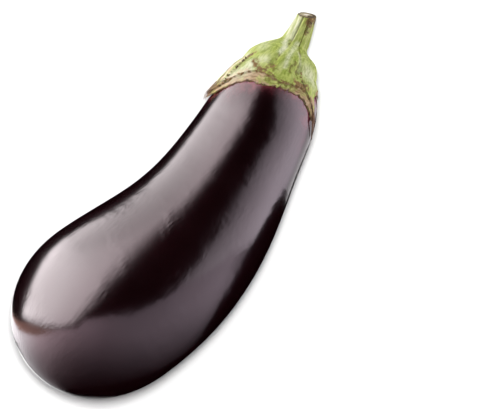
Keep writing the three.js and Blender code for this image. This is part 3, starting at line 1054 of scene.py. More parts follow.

# %% [markdown]
# ## Marks on the calyx
# Furrows, rim and edges get their marks by a formula instead, from where they are on their
# meridian. Six numbers per point hold the result: how dry it is, how much painted shade, how corky
# (with painted shade along the lobes' edges), how dark with scorch and painted shadow, how much
# painted highlight, and where the cut is.

# %% Marks on the calyx
MOTTLE_WIDTH = 2.6
FRONT_BEGINS = (54, 74)              # angles over which the band turns green at the front
FRONT_ENDS = (102, 120)              # and over which it turns dry again
LONG_TIP = (16, 30)                  # a lobe is long from one reach to the other, bit by bit
EDGE_FROM = 0.95                     # the share of a lobe's way down at which its dry edge starts
EDGE_POWER = 6                       # how tightly a mark keeps to an edge of the band
TIP_FROM = (0.6, 0.55)               # shares, down a lobe and towards its tip line, of a dry tip
BARE = 0.02                          # where it is less dry than this, no mottle is added
FURROW_MARK_WIDTH = 0.13             # shares of a half lobe
RIDGE_MARK_WIDTH = 0.1
THICK_BARK = (150, 60)               # angle at which the cut's bark is thickest, and its spread
DRY_PITH = (40, 50)                  # angle at which the cut's pith has dried, and its spread


def marks_by_rule(points):
    """The marks that follow from where a point is on its meridian."""
    mottle = uneven(points, MOTTLE_WIDTH, 7)
    angle = LINES["angle"][None] % 360
    to_tip = LINES["to_tip"][None]
    front = smoothstep(angle, *FRONT_BEGINS) * (1 - smoothstep(angle, *FRONT_ENDS))

    edge = smoothstep(on("lobe", 0, 1), EDGE_FROM, 1) + on("band", 1, 0) ** EDGE_POWER
    tips = smoothstep(on("lobe", 0, 1), TIP_FROM[0], 1) * smoothstep(to_tip, TIP_FROM[1], 1)
    long_lobe = smoothstep(LINES["tip_reach"][None], *LONG_TIP)
    dry_rim = on("band", 1, 1) * (1 - 0.9 * front) + 0.8 * on("band", 0, 1) ** 3 * front
    dry = over_rows(dry_rim + 0.4 * edge + tips * long_lobe)
    dry = dry + 0.3 * mottle * (dry > BARE)

    # painted shade: deeper olive in the furrows, the fine grooves and under the front lobe's edge
    furrows = on("stem", 1, 1) + on("sweep", 1, 0.6) + on("lobe", 0.6, 0)
    ridges = 0.45 * (on("stem", 1, 0.6) + on("sweep", 1, 0))
    painted_shade = furrows * bell(to_tip, 0, FURROW_MARK_WIDTH) + ridges * bell(to_tip, 1, RIDGE_MARK_WIDTH)
    painted_shade = over_rows(painted_shade + on("band", 0.9, 0.1) * front)

    # painted shadow: a dark line where the band's lower edge meets the skin, and a little along the edges
    dark = over_rows(0.7 * on("band", 0, 1) ** EDGE_POWER + 0.1 * edge) * (1 + mottle)
    # brown along the lobes' edges: a dried margin, with painted shade under it
    brown = over_rows(0.5 * edge) * (1 + mottle)
    return {"dry": dry, "painted_shade": painted_shade, "dark": dark, "brown": brown, "painted_highlight": 0 * mottle}


def cut_mark():
    """Where the stem is cut: low on the bark ring, and rising over the pith."""
    angle = LINES["angle"][None] % 360
    bark = 1.1 * bell(angle, *THICK_BARK) + 0.5 * bell(angle, *DRY_PITH)
    cut = on("cut", 0.15, 1.1) - bark * on("cut", 1, 0.3)
    return over_rows(np.maximum(cut, on("cut", 0.12, 0.12)))


def mark_calyx(calyx):
    """Keep the six marks on the calyx, and return the average of each."""
    points = read_points(calyx.data) / MM
    marks = {"cut": cut_mark()}
    for name, by_rule in marks_by_rule(points).items():
        marks[name] = np.maximum(np.clip(by_rule, 0, 1), paint_strokes(points, MARKS[name]))
    for name, values in marks.items():
        give(calyx.data, name, values)
    return {name: round(float(values.mean()), 3) for name, values in marks.items()}


print("average marks:", mark_calyx(calyx))

# %% [markdown]
# ## Calyx leaf
# A calyx is leaf tissue: matt to satin, with a felt of minute hairs that lightens its edges. The
# fibres run down it as pale and deep green streaks. Where it dries, it turns to papery tan and
# goes dull, and its cracks are brown-black. Painted highlights, painted shade and painted shadow
# are laid into its colour too: pale on ridges and facets, olive in the furrows and under edges,
# and near-black in the gaps under lifted edges. The cut shows a dry bark ring and cream pith. The
# real hairs and cells are far too fine to show, so the leaf's grain is drawn at 0.8 millimetres.
# Speckles of 0.8 to 3 millimetres break up the edges of the marks, as dead tissue breaks up.

# %% Calyx material
def worn(tree, name, grain, wear):
    """A mark whose edge is broken up by a grain."""
    gaps = add(tree, "ShaderNodeMapRange", {
        "Value": grain, "From Min": 0.36, "From Max": 0.64, "To Min": 1 - wear, "To Max": 1 + wear,
    }, interpolation_type="SMOOTHSTEP")
    torn = add(tree, "ShaderNodeMath", {0: name, 1: gaps}, operation="MULTIPLY")
    return add(tree, "ShaderNodeMapRange", {
        "Value": torn, "From Min": 0.15, "From Max": 0.9,
    }, interpolation_type="SMOOTHSTEP")


def along_fibres(tree, millimetres, detail):
    """Noise drawn out along the fibres, which are about this many millimetres wide."""
    along = add(tree, "ShaderNodeAttribute", attribute_name="fibre").outputs["Vector"]
    frequency = 1 / (millimetres * MM)
    return add(tree, "ShaderNodeTexNoise", {"Vector": along, "Scale": frequency, "Detail": detail})


def make_calyx_material():
    """Calyx leaf, dried, corky or scorched where marked, with painted light and shade, cut at the stem."""
    made, tree, shader = new_material("drying_calyx_leaf")
    fibres = along_fibres(tree, 0.9, 4.0)
    veins = along_fibres(tree, 3.5, 2.0)
    grain = speckle(tree, 0.8, 4)
    blotches = speckle(tree, 3.0, 3)
    streaky = add(tree, "ShaderNodeMapRange", {
        "Value": fibres, "From Min": 0.3, "From Max": 0.6, "To Min": 0.45, "To Max": 1.1,
    }, interpolation_type="SMOOTHSTEP")
    # painted highlight on ridges and facets, streaked by the fibres
    light = add(tree, "ShaderNodeMath", {0: "painted_highlight", 1: streaky}, operation="MULTIPLY")
    leaf = coated(
        tree, "#8fa238",
        ("#bfcb66", fibres, 0.35, 0.65, 1),
        ("#d4dc8c", veins, 0.45, 0.75, 0.6),
        ("#8a9c3c", blotches, 0.52, 0.75, 0.55),
        # painted shade: a deeper olive in the furrows and under the lobes' edges
        ("#7f8032", worn(tree, "painted_shade", speckle(tree, 1.6, 4), 0.6)),
        ("#eceecb", light),
    )
    papery = coated(
        tree, "#8f7149",
        ("#c8a984", fibres, 0.35, 0.62, 1),
        ("#dcc5a2", blotches, 0.5, 0.7, 0.6),
        # painted highlight on the dried parts
        ("#ecdab9", "painted_highlight"),
    )
    # brown cork, and painted shade along the lobes' edges
    cork_and_edge_shade = coated(tree, "#5d4321", ("#a5854f", grain))
    # near-black: scorched tissue, and painted shadow in the gaps under lifted edges and at the rim
    scorch_and_shadow = coated(tree, "#140b06", ("#4a3018", grain))
    bark = coated(tree, "#3c2f20", ("#6e5f46", grain))
    pith = coated(tree, "#b3a582", ("#f5efe4", "cut", 0.5, 0.75, 1))
    end_grain = coated(tree, bark, (pith, "cut", 0.2, 0.38, 1))
    dry = worn(tree, "dry", blotches, 0.45)
    colour = coated(
        tree, leaf,
        (papery, dry),
        (cork_and_edge_shade, worn(tree, "brown", speckle(tree, 1.5, 5), 0.55)),
        (scorch_and_shadow, worn(tree, "dark", grain, 0.3)),
        (end_grain, "cut", 0.01, 0.1, 1),
    )
    dull = add(tree, "ShaderNodeMapRange", {"Value": dry, "To Min": 0.48, "To Max": 0.8})
    relief = add(tree, "ShaderNodeMath", {0: fibres, 1: 1.6, 2: grain}, operation="MULTIPLY_ADD")
    bump = add(tree, "ShaderNodeBump", {"Strength": 1.0, "Distance": 0.16 * MM, "Height": relief})
    connect(tree, shader, {
        "Base Color": colour, "Roughness": dull, "Normal": bump,
        "Specular IOR Level": 0.2, "Sheen Weight": 0.1, "Sheen Roughness": 0.4,
    })
    return made


calyx_material = make_calyx_material()
calyx.data.materials.append(calyx_material)
print("material:", calyx_material.name)

# %% [markdown]
# ## Prickles
# Small corky prickles stand in a row down each of the three long lobes. They repeat along a line,
# so Geometry Nodes place them: the line is cut into even steps, a cone stands on each step, square
# to the leaf, and seeded noise varies its size, its lean and its distance from the line.

# %% Prickle tree
PRICKLE_SIZES = {
    "Spacing": 1.1 * MM,
    "Radius": 0.6 * MM,
    "Tip radius": 0.06 * MM,
    "Height": 1.2 * MM,
    "Smallest": 0.55,
    "Largest": 1.2,
    "Sinking": 0.35 * MM,
    "Stray": 0.65 * MM,
    "Lean": 0.45,
    "Seed": 3,
}


def make_prickle_material():
    """Dried prickles: brown-black cork at the tip, and still green where they leave the rib."""
    made, tree, shader = new_material("corky_prickle")
    level = add(tree, "ShaderNodeMath", {0: "tip", 1: speckle(tree, 0.7)}, operation="ADD")
    colour = coated(tree, "#77782c", ("#3a2c12", level, 0.45, 1.1, 1))
    connect(tree, shader, {"Base Color": colour, "Roughness": 0.7})
    return made


def shaken(tree, given, label):
    """A random vector, each part of it between minus and plus the size with this label."""
    opposite = add(tree, "ShaderNodeMath", {0: given[label], 1: -1.0}, operation="MULTIPLY")
    return add(tree, "FunctionNodeRandomValue", {
        "Min": opposite, "Max": given[label], "Seed": given["Seed"],
    }, data_type="FLOAT_VECTOR")


def make_cone(tree, given):
    """One prickle, sunk a little below its place, with its height kept on it from 0 to 1."""
    cone = add(tree, "GeometryNodeMeshCone", {
        "Vertices": 8, "Side Segments": 3, "Fill Segments": 1, "Radius Top": given["Tip radius"],
        "Radius Bottom": given["Radius"], "Depth": given["Height"],
    })
    split = add(tree, "ShaderNodeSeparateXYZ", {0: add(tree, "GeometryNodeInputPosition")})
    tip = add(tree, "ShaderNodeMath", {0: split.outputs[2], 1: given["Height"]}, operation="DIVIDE")
    marked = add(tree, "GeometryNodeStoreNamedAttribute", {
        "Geometry": cone.outputs["Mesh"], "Name": "tip", "Value": tip,
    }, data_type="FLOAT", domain="POINT")
    down = add(tree, "ShaderNodeMath", {0: given["Sinking"], 1: -1.0}, operation="MULTIPLY")
    return add(tree, "GeometryNodeTransform", {
        "Geometry": marked, "Translation": add(tree, "ShaderNodeCombineXYZ", {2: down}),
    })


def make_prickle_tree(material):
    tree, given = new_tree("prickles", PRICKLE_SIZES)
    lines = add(tree, "GeometryNodeMeshToCurve", {"Mesh": given["Geometry"]})
    steps = add(tree, "GeometryNodeResampleCurve", {
        "Curve": lines, "Length": given["Spacing"],
    }, mode="LENGTH")
    places = add(tree, "GeometryNodeCurveToPoints", {"Curve": steps}, mode="EVALUATED")
    strayed = add(tree, "GeometryNodeSetPosition", {
        "Geometry": places.outputs["Points"], "Offset": shaken(tree, given, "Stray"),
    })
    square = add(tree, "GeometryNodeInputNamedAttribute", {"Name": "square"}, data_type="FLOAT_VECTOR")
    upright = add(tree, "FunctionNodeAlignRotationToVector", {"Vector": square}, axis="Z")
    tilt = add(tree, "FunctionNodeEulerToRotation", {0: shaken(tree, given, "Lean")})
    turned = add(tree, "FunctionNodeRotateRotation", {0: upright, 1: tilt}, rotation_space="LOCAL")
    size = add(tree, "FunctionNodeRandomValue", {
        "Min": given["Smallest"], "Max": given["Largest"], "Seed": given["Seed"],
    }, data_type="FLOAT")
    standing = add(tree, "GeometryNodeInstanceOnPoints", {
        "Points": strayed, "Instance": make_cone(tree, given), "Rotation": turned, "Scale": size,
    })
    return end_tree(tree, standing, material)


print("prickle sizes:", PRICKLE_SIZES)

# %% [markdown]
# ## Rows of prickles
# The upper left lobe's row strays from its midrib, so it is drawn by height and angle, as the marks
# are. The rows of the two lobes underneath keep to the midrib, over a share of the lobe.

# %% Grow the prickles
STRAY_ROW = [(-7.5, 27), (-9.5, 26), (-13, 30), (-15.2, 31.6), (-19.4, 29.7), (-23, 27.5), (-26, 25)]
PRICKLY_LOBES = (7, 9)
PRICKLES_FROM = 0.12
PRICKLES_TO = 0.97


def make_prickles():
    points = read_points(calyx.data)
    prickly = (ROW_SHARE > PRICKLES_FROM) & (ROW_SHARE < PRICKLES_TO)
    rows = np.flatnonzero((ROW_STRETCH == "lobe") & prickly)
    chosen = nearest_points(points, STRAY_ROW, on("lobe", 1, 1) + on("sweep", 1, 1))
    edges = chain(0, len(chosen))
    for corner in PRICKLY_LOBES:
        start = len(chosen)
        chosen += [row * COLUMNS + corner * HALF_LOBE_SIDES for row in rows]
        edges += chain(start, len(chosen))
    prickles = make_object("prickles", points[chosen].tolist(), edges, [])
    give_vectors(prickles.data, "square", read_vectors(calyx.data.vertex_normals, "vector")[chosen])
    grow(prickles, make_prickle_tree(make_prickle_material()), PRICKLE_SIZES)
    return prickles


prickles = make_prickles()

# %% [markdown]
# ## Dried threads
# Where the lobes' tips and the ragged rim have dried, they end in brittle threads: thin brown
# slivers that lie close to the skin or stand off it a little. Each is a short tapering curve, listed
# one by one for the long ones and drawn by a seeded draw for the rest, and swept with a small round profile.

# %% Thread tree
THREAD_SIZES = {"Sides": 6, "Points": 18}


def make_thread_material():
    """Dead leaf edge: brittle, matt and dark brown, with paler brown speckles."""
    made, tree, shader = new_material("dried_leaf_thread")
    colour = coated(tree, "#2a1a0e", ("#83623c", speckle(tree, 1.2, 3)))
    connect(tree, shader, {"Base Color": colour, "Roughness": 0.75})
    return made


def make_thread_tree(material):
    tree, given = new_tree("dried_threads", THREAD_SIZES)
    lines = add(tree, "GeometryNodeMeshToCurve", {"Mesh": given["Geometry"]})
    bent = add(tree, "GeometryNodeCurveSplineType", {"Curve": lines}, spline_type="CATMULL_ROM")
    steps = add(tree, "GeometryNodeResampleCurve", {
        "Curve": bent, "Count": given["Points"],
    }, mode="COUNT")
    return end_tree(tree, sweep_round(tree, steps, given["Sides"], fill_caps=True), material)


print("thread sizes:", THREAD_SIZES)

# %% [markdown]
# ## Where the threads lie
# Each thread is a radius and its places: reach, angle and lift over the skin. The first long one is
# the sliver that ends the narrow lobe on the right, the next belongs to it, and the last three
# fray the tip of the left lobe. The short ones start on the rim and run down or along it.

# %% Grow the threads
LONG_THREADS = [
    (0.55, [(17.5, 147.5, 1.3), (20.5, 150.5, 1.2), (23, 155.5, 0.9), (25.5, 162, 0.5), (27.3, 166, 0.9)]),
    (0.3, [(18, 150, 1.4), (21.5, 154, 1.5), (24, 160, 1.0)]),
    (0.35, [(27, 15, 2.4), (30.5, 13, 2.4), (33, 11.5, 2.4), (34.6, 11, 2.0)]),
    (0.3, [(29, 19, 2.3), (32, 16, 2.2), (34.5, 14, 1.6)]),
    (0.22, [(25, 12, 2.4), (29, 10.5, 2.6), (31.5, 10, 3.0), (33.5, 10, 2.6)]),
]
SHORT_THREADS = 40
SHORT_THREAD_SEED = 21
SHORT_THREAD_RADIUS = 0.16
SHORT_THREAD_LENGTH = (0.8, 2.2)
SHORT_THREAD_START = 0.6             # how far above the rim a short one starts
SHORT_THREAD_LIFT = 0.1              # over the leaf
SHORT_THREAD_RISE = (-0.15, 0.25)    # how far its end may sink or rise
THREAD_TAPER = 0.8                   # the share of its radius that a thread loses by its end


def draw_short_threads():
    """Frayed bits of the rim: each starts on it and runs down or along it."""
    draw = np.random.default_rng(SHORT_THREAD_SEED)
    threads = []
    for column in draw.integers(0, COLUMNS, SHORT_THREADS):
        reach = LINES["rim"][column] - SHORT_THREAD_START
        tip_share = reach / LINES["tip_reach"][column]
        curl = float(LINES["curl"][column] * smoothstep(tip_share, CURL_FROM, CURL_TO))
        lift = RIM_LIFT + SHORT_THREAD_LIFT + curl
        length = draw.uniform(*SHORT_THREAD_LENGTH)
        turn = np.degrees(draw.uniform(-1, 1) * length / NECK_RADIUS)
        places = []
        for share in (0, 0.5, 1):
            rise = share * draw.uniform(*SHORT_THREAD_RISE)
            places.append((reach + share * length, LINES["angle"][column] + share * turn, lift + rise))
        threads.append((SHORT_THREAD_RADIUS, places))
    return threads


def make_threads():
    points, edges, radii = [], [], []
    for radius, places in LONG_THREADS + draw_short_threads():
        start = len(points)
        for reach, angle, lift in places:
            points.append(to_scene(skin_point(np.float64(reach), np.float64(angle), lift)).tolist())
        radii += list(radius * MM * np.linspace(1, 1 - THREAD_TAPER, len(places)))
        edges += chain(start, len(points))
    threads = make_object("dried_threads", points, edges, [])
    give(threads.data, "radius", radii)
    grow(threads, make_thread_tree(make_thread_material()), THREAD_SIZES)
    return threads


threads = make_threads()

# %% [markdown]
# ## Blush and blossom scar
# Two finishes of the skin could not be painted before the calyx was there. Just below its rim the
# skin was shaded while it grew, so it is pink instead of purple, in a band of uneven width. At the
# other end the flower has left a small sunken scar of dry cork, with a raised lip.

# %% Blush and scar
BLUSH_WIDTH = 1.2
BLUSH_WIDTH_LOW_SIDE = 6.5           # on the side away from the light the band is broad
BLUSH_WIDTH_LEFT = 4.2               # and it is wider again below the left front edge
LOW_SIDE = (165, 32)                 # the angle in the middle of that side, and its spread
LEFT_EDGE = (56, 15)
BLUSH_WAVER = 0.5
BLUSH_WAVER_WIDTH = 6
LOWEST_BLUSH = -60                   # height at which the blush has certainly ended
SCAR_BELOW_POLE = 12                 # distance down the blossom end from its very tip
SCAR_RADIUS = 3.6
SCAR_DEPTH = 0.9
SCAR_LIP = 0.3
SCAR_LIP_WIDTH = 0.9
SCAR_WAVER = 0.35
SCAR_WAVER_WIDTH = 1.5
CORK_DEPTH = 0.25
CORK_WIDTH = 0.9


def blush_skin():
    """Keep on the skin how pink it is: most at the calyx's rim, and less and less below it."""
    points = read_points(fruit.data)
    height, angle, _ = round_the_axis(points)
    order = np.argsort(LINES["angle"] % 360)
    rim = np.interp(angle % 360, (LINES["angle"] % 360)[order], LINES["rim"][order], period=360)
    width = blend(BLUSH_WIDTH, BLUSH_WIDTH_LOW_SIDE, bell(angle, *LOW_SIDE))
    width = blend(width, BLUSH_WIDTH_LEFT, bell(angle, *LEFT_EDGE))
    width = width * (1 + BLUSH_WAVER * uneven(points / MM, BLUSH_WAVER_WIDTH, 8))
    below = np.maximum(-height - rim, 0)
    give(fruit.data, "blush", np.exp(-below / width) * (height > LOWEST_BLUSH))


def scar_skin():
    """Press the blossom scar into the skin, keep on the skin where it is, and return its middle."""
    points = read_points(fruit.data) / MM
    pole = points[0] if points[0][0] < points[-1][0] else points[-1]
    _, up = across(spine_direction(np.array(0.0)))
    wanted = pole - SCAR_BELOW_POLE * up
    centre = points[np.argmin(np.linalg.norm(points - wanted, axis=-1))]
    away = np.linalg.norm(points - centre, axis=-1) + SCAR_WAVER * uneven(points, SCAR_WAVER_WIDTH, 9)
    dip = SCAR_DEPTH * bell(away, 0, 0.7 * SCAR_RADIUS)
    lip = SCAR_LIP * bell(away, 1.15 * SCAR_RADIUS, SCAR_LIP_WIDTH)
    inside = 1 - smoothstep(away, 0.7 * SCAR_RADIUS, 1.1 * SCAR_RADIUS)
    cork = CORK_DEPTH * uneven(points, CORK_WIDTH, 10) * inside
    push_points(fruit.data, lip - dip + cork)
    give(fruit.data, "scar", 1 - smoothstep(away, 0.85 * SCAR_RADIUS, 1.2 * SCAR_RADIUS))
    return centre


blush_skin()
print("blossom scar at", scar_skin().round(1), "mm")

# %% [markdown]
# ## A pale floor
# The fruit lies on a matt, pale grey table top that is lit until it looks white. It curves up all
# round into walls that glow from within, as a light tent does. The middle of the table doesn't
# glow, so a shadow shows there. The skin doesn't mirror the table: the light cards alone set what
# it mirrors.

# %% Floor
FLOOR_RADIUS = 3.0
DIM_RADIUS = 0.2
TENT_GLOW = 0.75
COVE_RADIUS = 1.5                    # the quarter turn from floor to wall
WALL_TOP = 4.0
FLOOR_SIDES = 96
COVE_RINGS = 12


def floor_points():
    """Rings of points, from the dim middle over the flat and up a quarter turn to the wall's top."""
    turns = np.linspace(0, math.pi / 2, COVE_RINGS)
    flat = [DIM_RADIUS, 2 * DIM_RADIUS, FLOOR_RADIUS / 2]
    wall = FLOOR_RADIUS + COVE_RADIUS
    radii = [*flat, *(FLOOR_RADIUS + COVE_RADIUS * np.sin(turns)), wall]
    heights = [0, 0, 0, *(COVE_RADIUS * (1 - np.cos(turns))), WALL_TOP]
    around = np.linspace(0, 2 * math.pi, FLOOR_SIDES, endpoint=False)
    return [(r * math.cos(a), r * math.sin(a), z) for r, z in zip(radii, heights) for a in around]


def ring_faces(rings, sides):
    """The faces that join each ring of points to the next one."""
    faces = []
    for ring in range(rings - 1):
        for i in range(sides):
            here = ring * sides + i
            beside = ring * sides + (i + 1) % sides
            faces.append((here, here + sides, beside + sides, beside))
    return faces


def make_floor():
    points = floor_points()
    faces = [tuple(range(FLOOR_SIDES)), *ring_faces(len(points) // FLOOR_SIDES, FLOOR_SIDES)]
    floor = make_object("floor", points, [], faces)
    floor.data.shade_smooth()
    dim = [math.hypot(x, y) < 1.1 * DIM_RADIUS for x, y, z in points]
    give(floor.data, "glow", np.where(dim, 0, TENT_GLOW))
    made, tree, shader = new_material("matt_grey_acrylic")
    connect(tree, shader, {
        "Base Color": "#a6a6a6", "Roughness": 0.7, "Specular IOR Level": 0.1,
        "Emission Color": "#ffffff", "Emission Strength": "glow",
    })
    floor.data.materials.append(made)
    floor.visible_glossy = False
    return floor


floor = make_floor()
bpy.context.scene.view_settings.view_transform = "Standard"
print("floor", 2 * FLOOR_RADIUS, "m wide")

# %% [markdown]
# ## Lamps
# Soft lamps shape the matt calyx: the key from the upper left of the view, and a weak fill from
# its right. A lamp almost overhead lights the table alone, and gives the short shadow below the
# fruit. The skin doesn't mirror any of them, so they can't spoil its long reflections.

# %% Lamps
LAMP_DISTANCE = 1.2


def make_lamp(name, bearing, elevation, size, power, lights_only=None):
    """A square lamp. A bearing of 0 is the top of the view, and 90 its right."""
    turn = math.radians(bearing) + VIEW_TURN
    level = math.cos(math.radians(elevation))
    away = Vector((level * math.sin(turn), level * math.cos(turn), math.sin(math.radians(elevation))))
    data = bpy.data.lights.new(name, "AREA")
    data.size = size
    data.energy = power
    lamp = bpy.data.objects.new(name, data)
    lamp.location = Vector((*VIEW_CENTRE, OUTLINE_HEIGHT)) + LAMP_DISTANCE * away
    lamp.rotation_euler = away.to_track_quat("Z", "Y").to_euler()
    lamp.visible_glossy = False
    bpy.context.scene.collection.objects.link(lamp)
    if lights_only:
        lit = bpy.data.collections.new(name + "_target")
        lit.objects.link(lights_only)
        lamp.light_linking.receiver_collection = lit


make_lamp("key_light", bearing=-50, elevation=38, size=0.4, power=3.9)
make_lamp("fill_light", bearing=100, elevation=35, size=0.8, power=0.8)
make_lamp("table_light", bearing=-3, elevation=86.5, size=0.15, power=37, lights_only=floor)

# %% [markdown]
# ## Light cards
# The skin is a dark mirror, so the light is planned on a mirror ball: x runs to the right of the
# view, y to its top, and 1 is the ball's rim. A card's four edges are drawn on that ball, and
# each point of it hangs where the ball would mirror it.

# %% Places on a mirror ball
def mirrored(places):
    """Directions that the camera sees mirrored at places on a ball."""
    x, y = np.moveaxis(places, -1, 0)
    z = np.sqrt(1 - x * x - y * y)
    cos, sin = math.cos(VIEW_TURN), math.sin(VIEW_TURN)
    right, top = 2 * z * x, 2 * z * y
    return np.stack([right * cos + top * sin, top * cos - right * sin, 2 * z * z - 1], axis=-1)


def listed(values, shares):
    """A list of values spread evenly over 0 to 1, read at shares."""
    return np.interp(shares, np.linspace(0, 1, len(values)), values)


def along_line(line, shares):
    """Places at even shares of a line through a few points."""
    return np.stack([listed([place[axis] for place in line], shares) for axis in (0, 1)], axis=-1)


def between_edges(bottom, top, left, right, shares):
    """Coons patch: a grid of places that meets four edge lines."""
    u, v = np.meshgrid(shares, shares)
    u, v = u[..., None], v[..., None]
    bottom_line, top_line, left_line, right_line = (
        along_line(line, shares) for line in (bottom, top, left, right))
    bottom_chord = blend(bottom_line[0], bottom_line[-1], u)
    top_chord = blend(top_line[0], top_line[-1], u)
    rows = blend(bottom_line[None], top_line[None], v)
    columns = blend(left_line[:, None], right_line[:, None], u)
    return rows + columns - blend(bottom_chord, top_chord, v)


print("the ball's middle mirrors", mirrored(np.zeros(2)))

# %% [markdown]
# ## How a card is made
# A card's glow is listed along its bottom and top edges, and may fade at its sides, as the front
# of a softbox does. The nearer a card hangs, the more its mirror image depends on where the skin
# is, and not only on which way the skin faces. Only the skin's mirror image shows the cards.

# %% Card maker
CARD_CELLS = 32
CARD_MIDDLE = Vector((*VIEW_CENTRE, OUTLINE_HEIGHT))
RIGHT_RISE = (0.45, 0.75)            # shares over which the right half's rise takes over


def fade(share, soft_start, soft_end):
    """1, but S-shaped down to 0 over a share at the start and another at the end."""
    start = smoothstep(share, 0, soft_start) if soft_start else 1.0
    end = smoothstep(1 - share, 0, soft_end) if soft_end else 1.0
    return start * end


def make_card_material():
    """Nothing but light, in the colour kept on the card."""
    made = bpy.data.materials.new("lit_card")
    made.use_nodes = True
    tree = made.node_tree
    tree.nodes.clear()
    glow = add(tree, "ShaderNodeAttribute", attribute_name="glow")
    light = add(tree, "ShaderNodeEmission", {"Color": glow.outputs["Color"], "Strength": 1.0})
    add(tree, "ShaderNodeOutputMaterial", {"Surface": light})
    return made


card_material = make_card_material()


def hang(card, colours):
    """Give each corner its glow. Only the skin's mirror image shows a card, and it shades nothing."""
    glow = card.data.attributes.new("glow", "FLOAT_COLOR", "POINT")
    glow.data.foreach_set("color", np.asarray(colours, float).ravel())
    card.data.materials.append(card_material)
    card.visible_camera = False
    card.visible_diffuse = False
    card.visible_shadow = False


def make_card(name, bottom, top, glow, left=None, right=None, rise=(0, 1), rise_right=None,
              soft=(0, 0, 0, 0), tints=((1, 1, 1), (1, 1, 1)), distances=(0.7, 0.7)):
    """A card in four edges. glow lists its light along its bottom and along its top, and rise
    the share of the top's at even heights, with another list for the right half if need be.
    soft is the share that fades at its left, right, bottom and top. tints run from left to
    right, and distances are those of its left and right sides."""
    shares = np.linspace(0, 1, CARD_CELLS + 1)
    left = left or (bottom[0], top[0])
    right = right or (bottom[-1], top[-1])
    places = between_edges(bottom, top, left, right, shares)
    u, v = np.meshgrid(shares, shares)
    points = np.array(CARD_MIDDLE) + mirrored(places) * listed(distances, u)[..., None]
    share = blend(listed(rise, v), listed(rise_right or rise, v), smoothstep(u, *RIGHT_RISE))
    level = blend(listed(glow[0], u), listed(glow[1], u), share)
    level = level * fade(u, soft[0], soft[1]) * fade(v, soft[2], soft[3])
    side = CARD_CELLS + 1
    starts = [row * side + column for row in range(CARD_CELLS) for column in range(CARD_CELLS)]
    faces = [(i, i + 1, i + side + 1, i + side) for i in starts]
    card = make_object(name, points.reshape(-1, 3).tolist(), [], faces)
    tint = np.stack([listed([colour[channel] for colour in tints], u) for channel in range(3)], axis=-1)
    colours = np.concatenate([level[..., None] * tint, np.ones((side, side, 1))], axis=-1)
    hang(card, colours)
    print(name, "glows up to", level.max().round(1))


print("each card has", CARD_CELLS ** 2, "cells")

# %% [markdown]
# ## Cards on the left
# A large softbox lights the upper left of the belly. A thin warm strip runs along its lower edge,
# where its light thins out.

# %% Left cards
make_card(
    "left_softbox",
    bottom=[(-0.81, -0.13), (-0.71, -0.17), (-0.6, -0.198), (-0.48, -0.218), (-0.31, -0.226)],
    top=[(-0.47, 0.73), (0.05, 0.59)],
    left=[(-0.81, -0.13), (-0.79, 0.05), (-0.78, 0.22), (-0.76, 0.37), (-0.73, 0.47), (-0.67, 0.57),
          (-0.58, 0.66), (-0.47, 0.73)],
    right=[(-0.31, -0.23), (-0.14, -0.03), (-0.055, 0.12), (-0.03, 0.26), (-0.03, 0.4), (0.0, 0.5),
           (0.05, 0.59)],
    glow=((12.3, 13.9, 14.2, 13.4, 11.4, 9.6, 8.2), (7.2, 7.4, 7, 6.2, 5.5, 5, 4.6)),
    rise=(0, 0, 0, 0, 0.05, 0.3, 0.84, 1, 1), soft=(0.08, 0.2, 0.05, 0.1),
    tints=((1, 0.91, 0.93), (1, 0.88, 0.91), (1, 0.81, 0.86)), distances=(0.45, 0.26),
)
make_card(
    "warm_edge",
    bottom=[(-0.93, -0.2), (-0.74, -0.26), (-0.57, -0.27), (-0.4, -0.215)],
    top=[(-0.93, -0.185), (-0.74, -0.165), (-0.57, -0.19), (-0.4, -0.205)],
    glow=((2.2, 2.6, 2.8, 3.0), (0.3, 1.6, 2.4, 3.0)), tints=((1, 0.5, 0.4), (1, 0.52, 0.42), (1, 0.62, 0.6)),
    distances=(0.44, 0.3),
)

# %% [markdown]
# ## Cards low in front
# A wide fill covers the lower half of the belly. It is brightest along its top and fades
# downwards, but reaches further down on its right. A narrow rim light follows the belly's lower
# left outline.

# %% Low cards
make_card(
    "front_fill",
    bottom=[(-0.622, -0.78), (-0.46, -0.81), (-0.2, -0.83), (0.18, -0.83), (0.55, -0.8)],
    top=[(-0.994, -0.09), (-0.87, -0.2), (-0.74, -0.2), (-0.6, -0.2), (-0.45, -0.15), (-0.25, -0.1),
         (0.0, -0.1), (0.15, -0.12), (0.3, -0.14), (0.5, -0.1), (0.7, -0.1)],
    left=[(-0.622, -0.78), (-0.81, -0.58), (-0.944, -0.32), (-0.994, -0.09)],
    right=[(0.55, -0.8), (0.68, -0.6), (0.74, -0.4), (0.7, -0.1)],
    glow=((1.0, 0.7, 0.3, 0, 0, 0, 0, 0, 0, 0, 0),
          (2.4, 5.2, 6.6, 6.3, 4.9, 3.3, 2.0, 1.8, 1.9, 3.0, 3.8)),
    rise=(0, 0.02, 0.05, 0.12, 0.24, 0.43, 0.7, 1, 1),
    rise_right=(0.01, 0.05, 0.15, 0.3, 0.52, 0.75, 0.98, 1, 1),
    soft=(0, 0.06, 0, 0.04),
    tints=((1, 0.96, 0.99), (1, 0.9, 0.95), (1, 0.74, 0.82), (1, 0.7, 0.8), (1, 0.72, 0.86), (1, 0.77, 0.92),
           (1, 0.79, 0.94), (1, 0.82, 0.96)),
    distances=(0.75, 0.7),
)
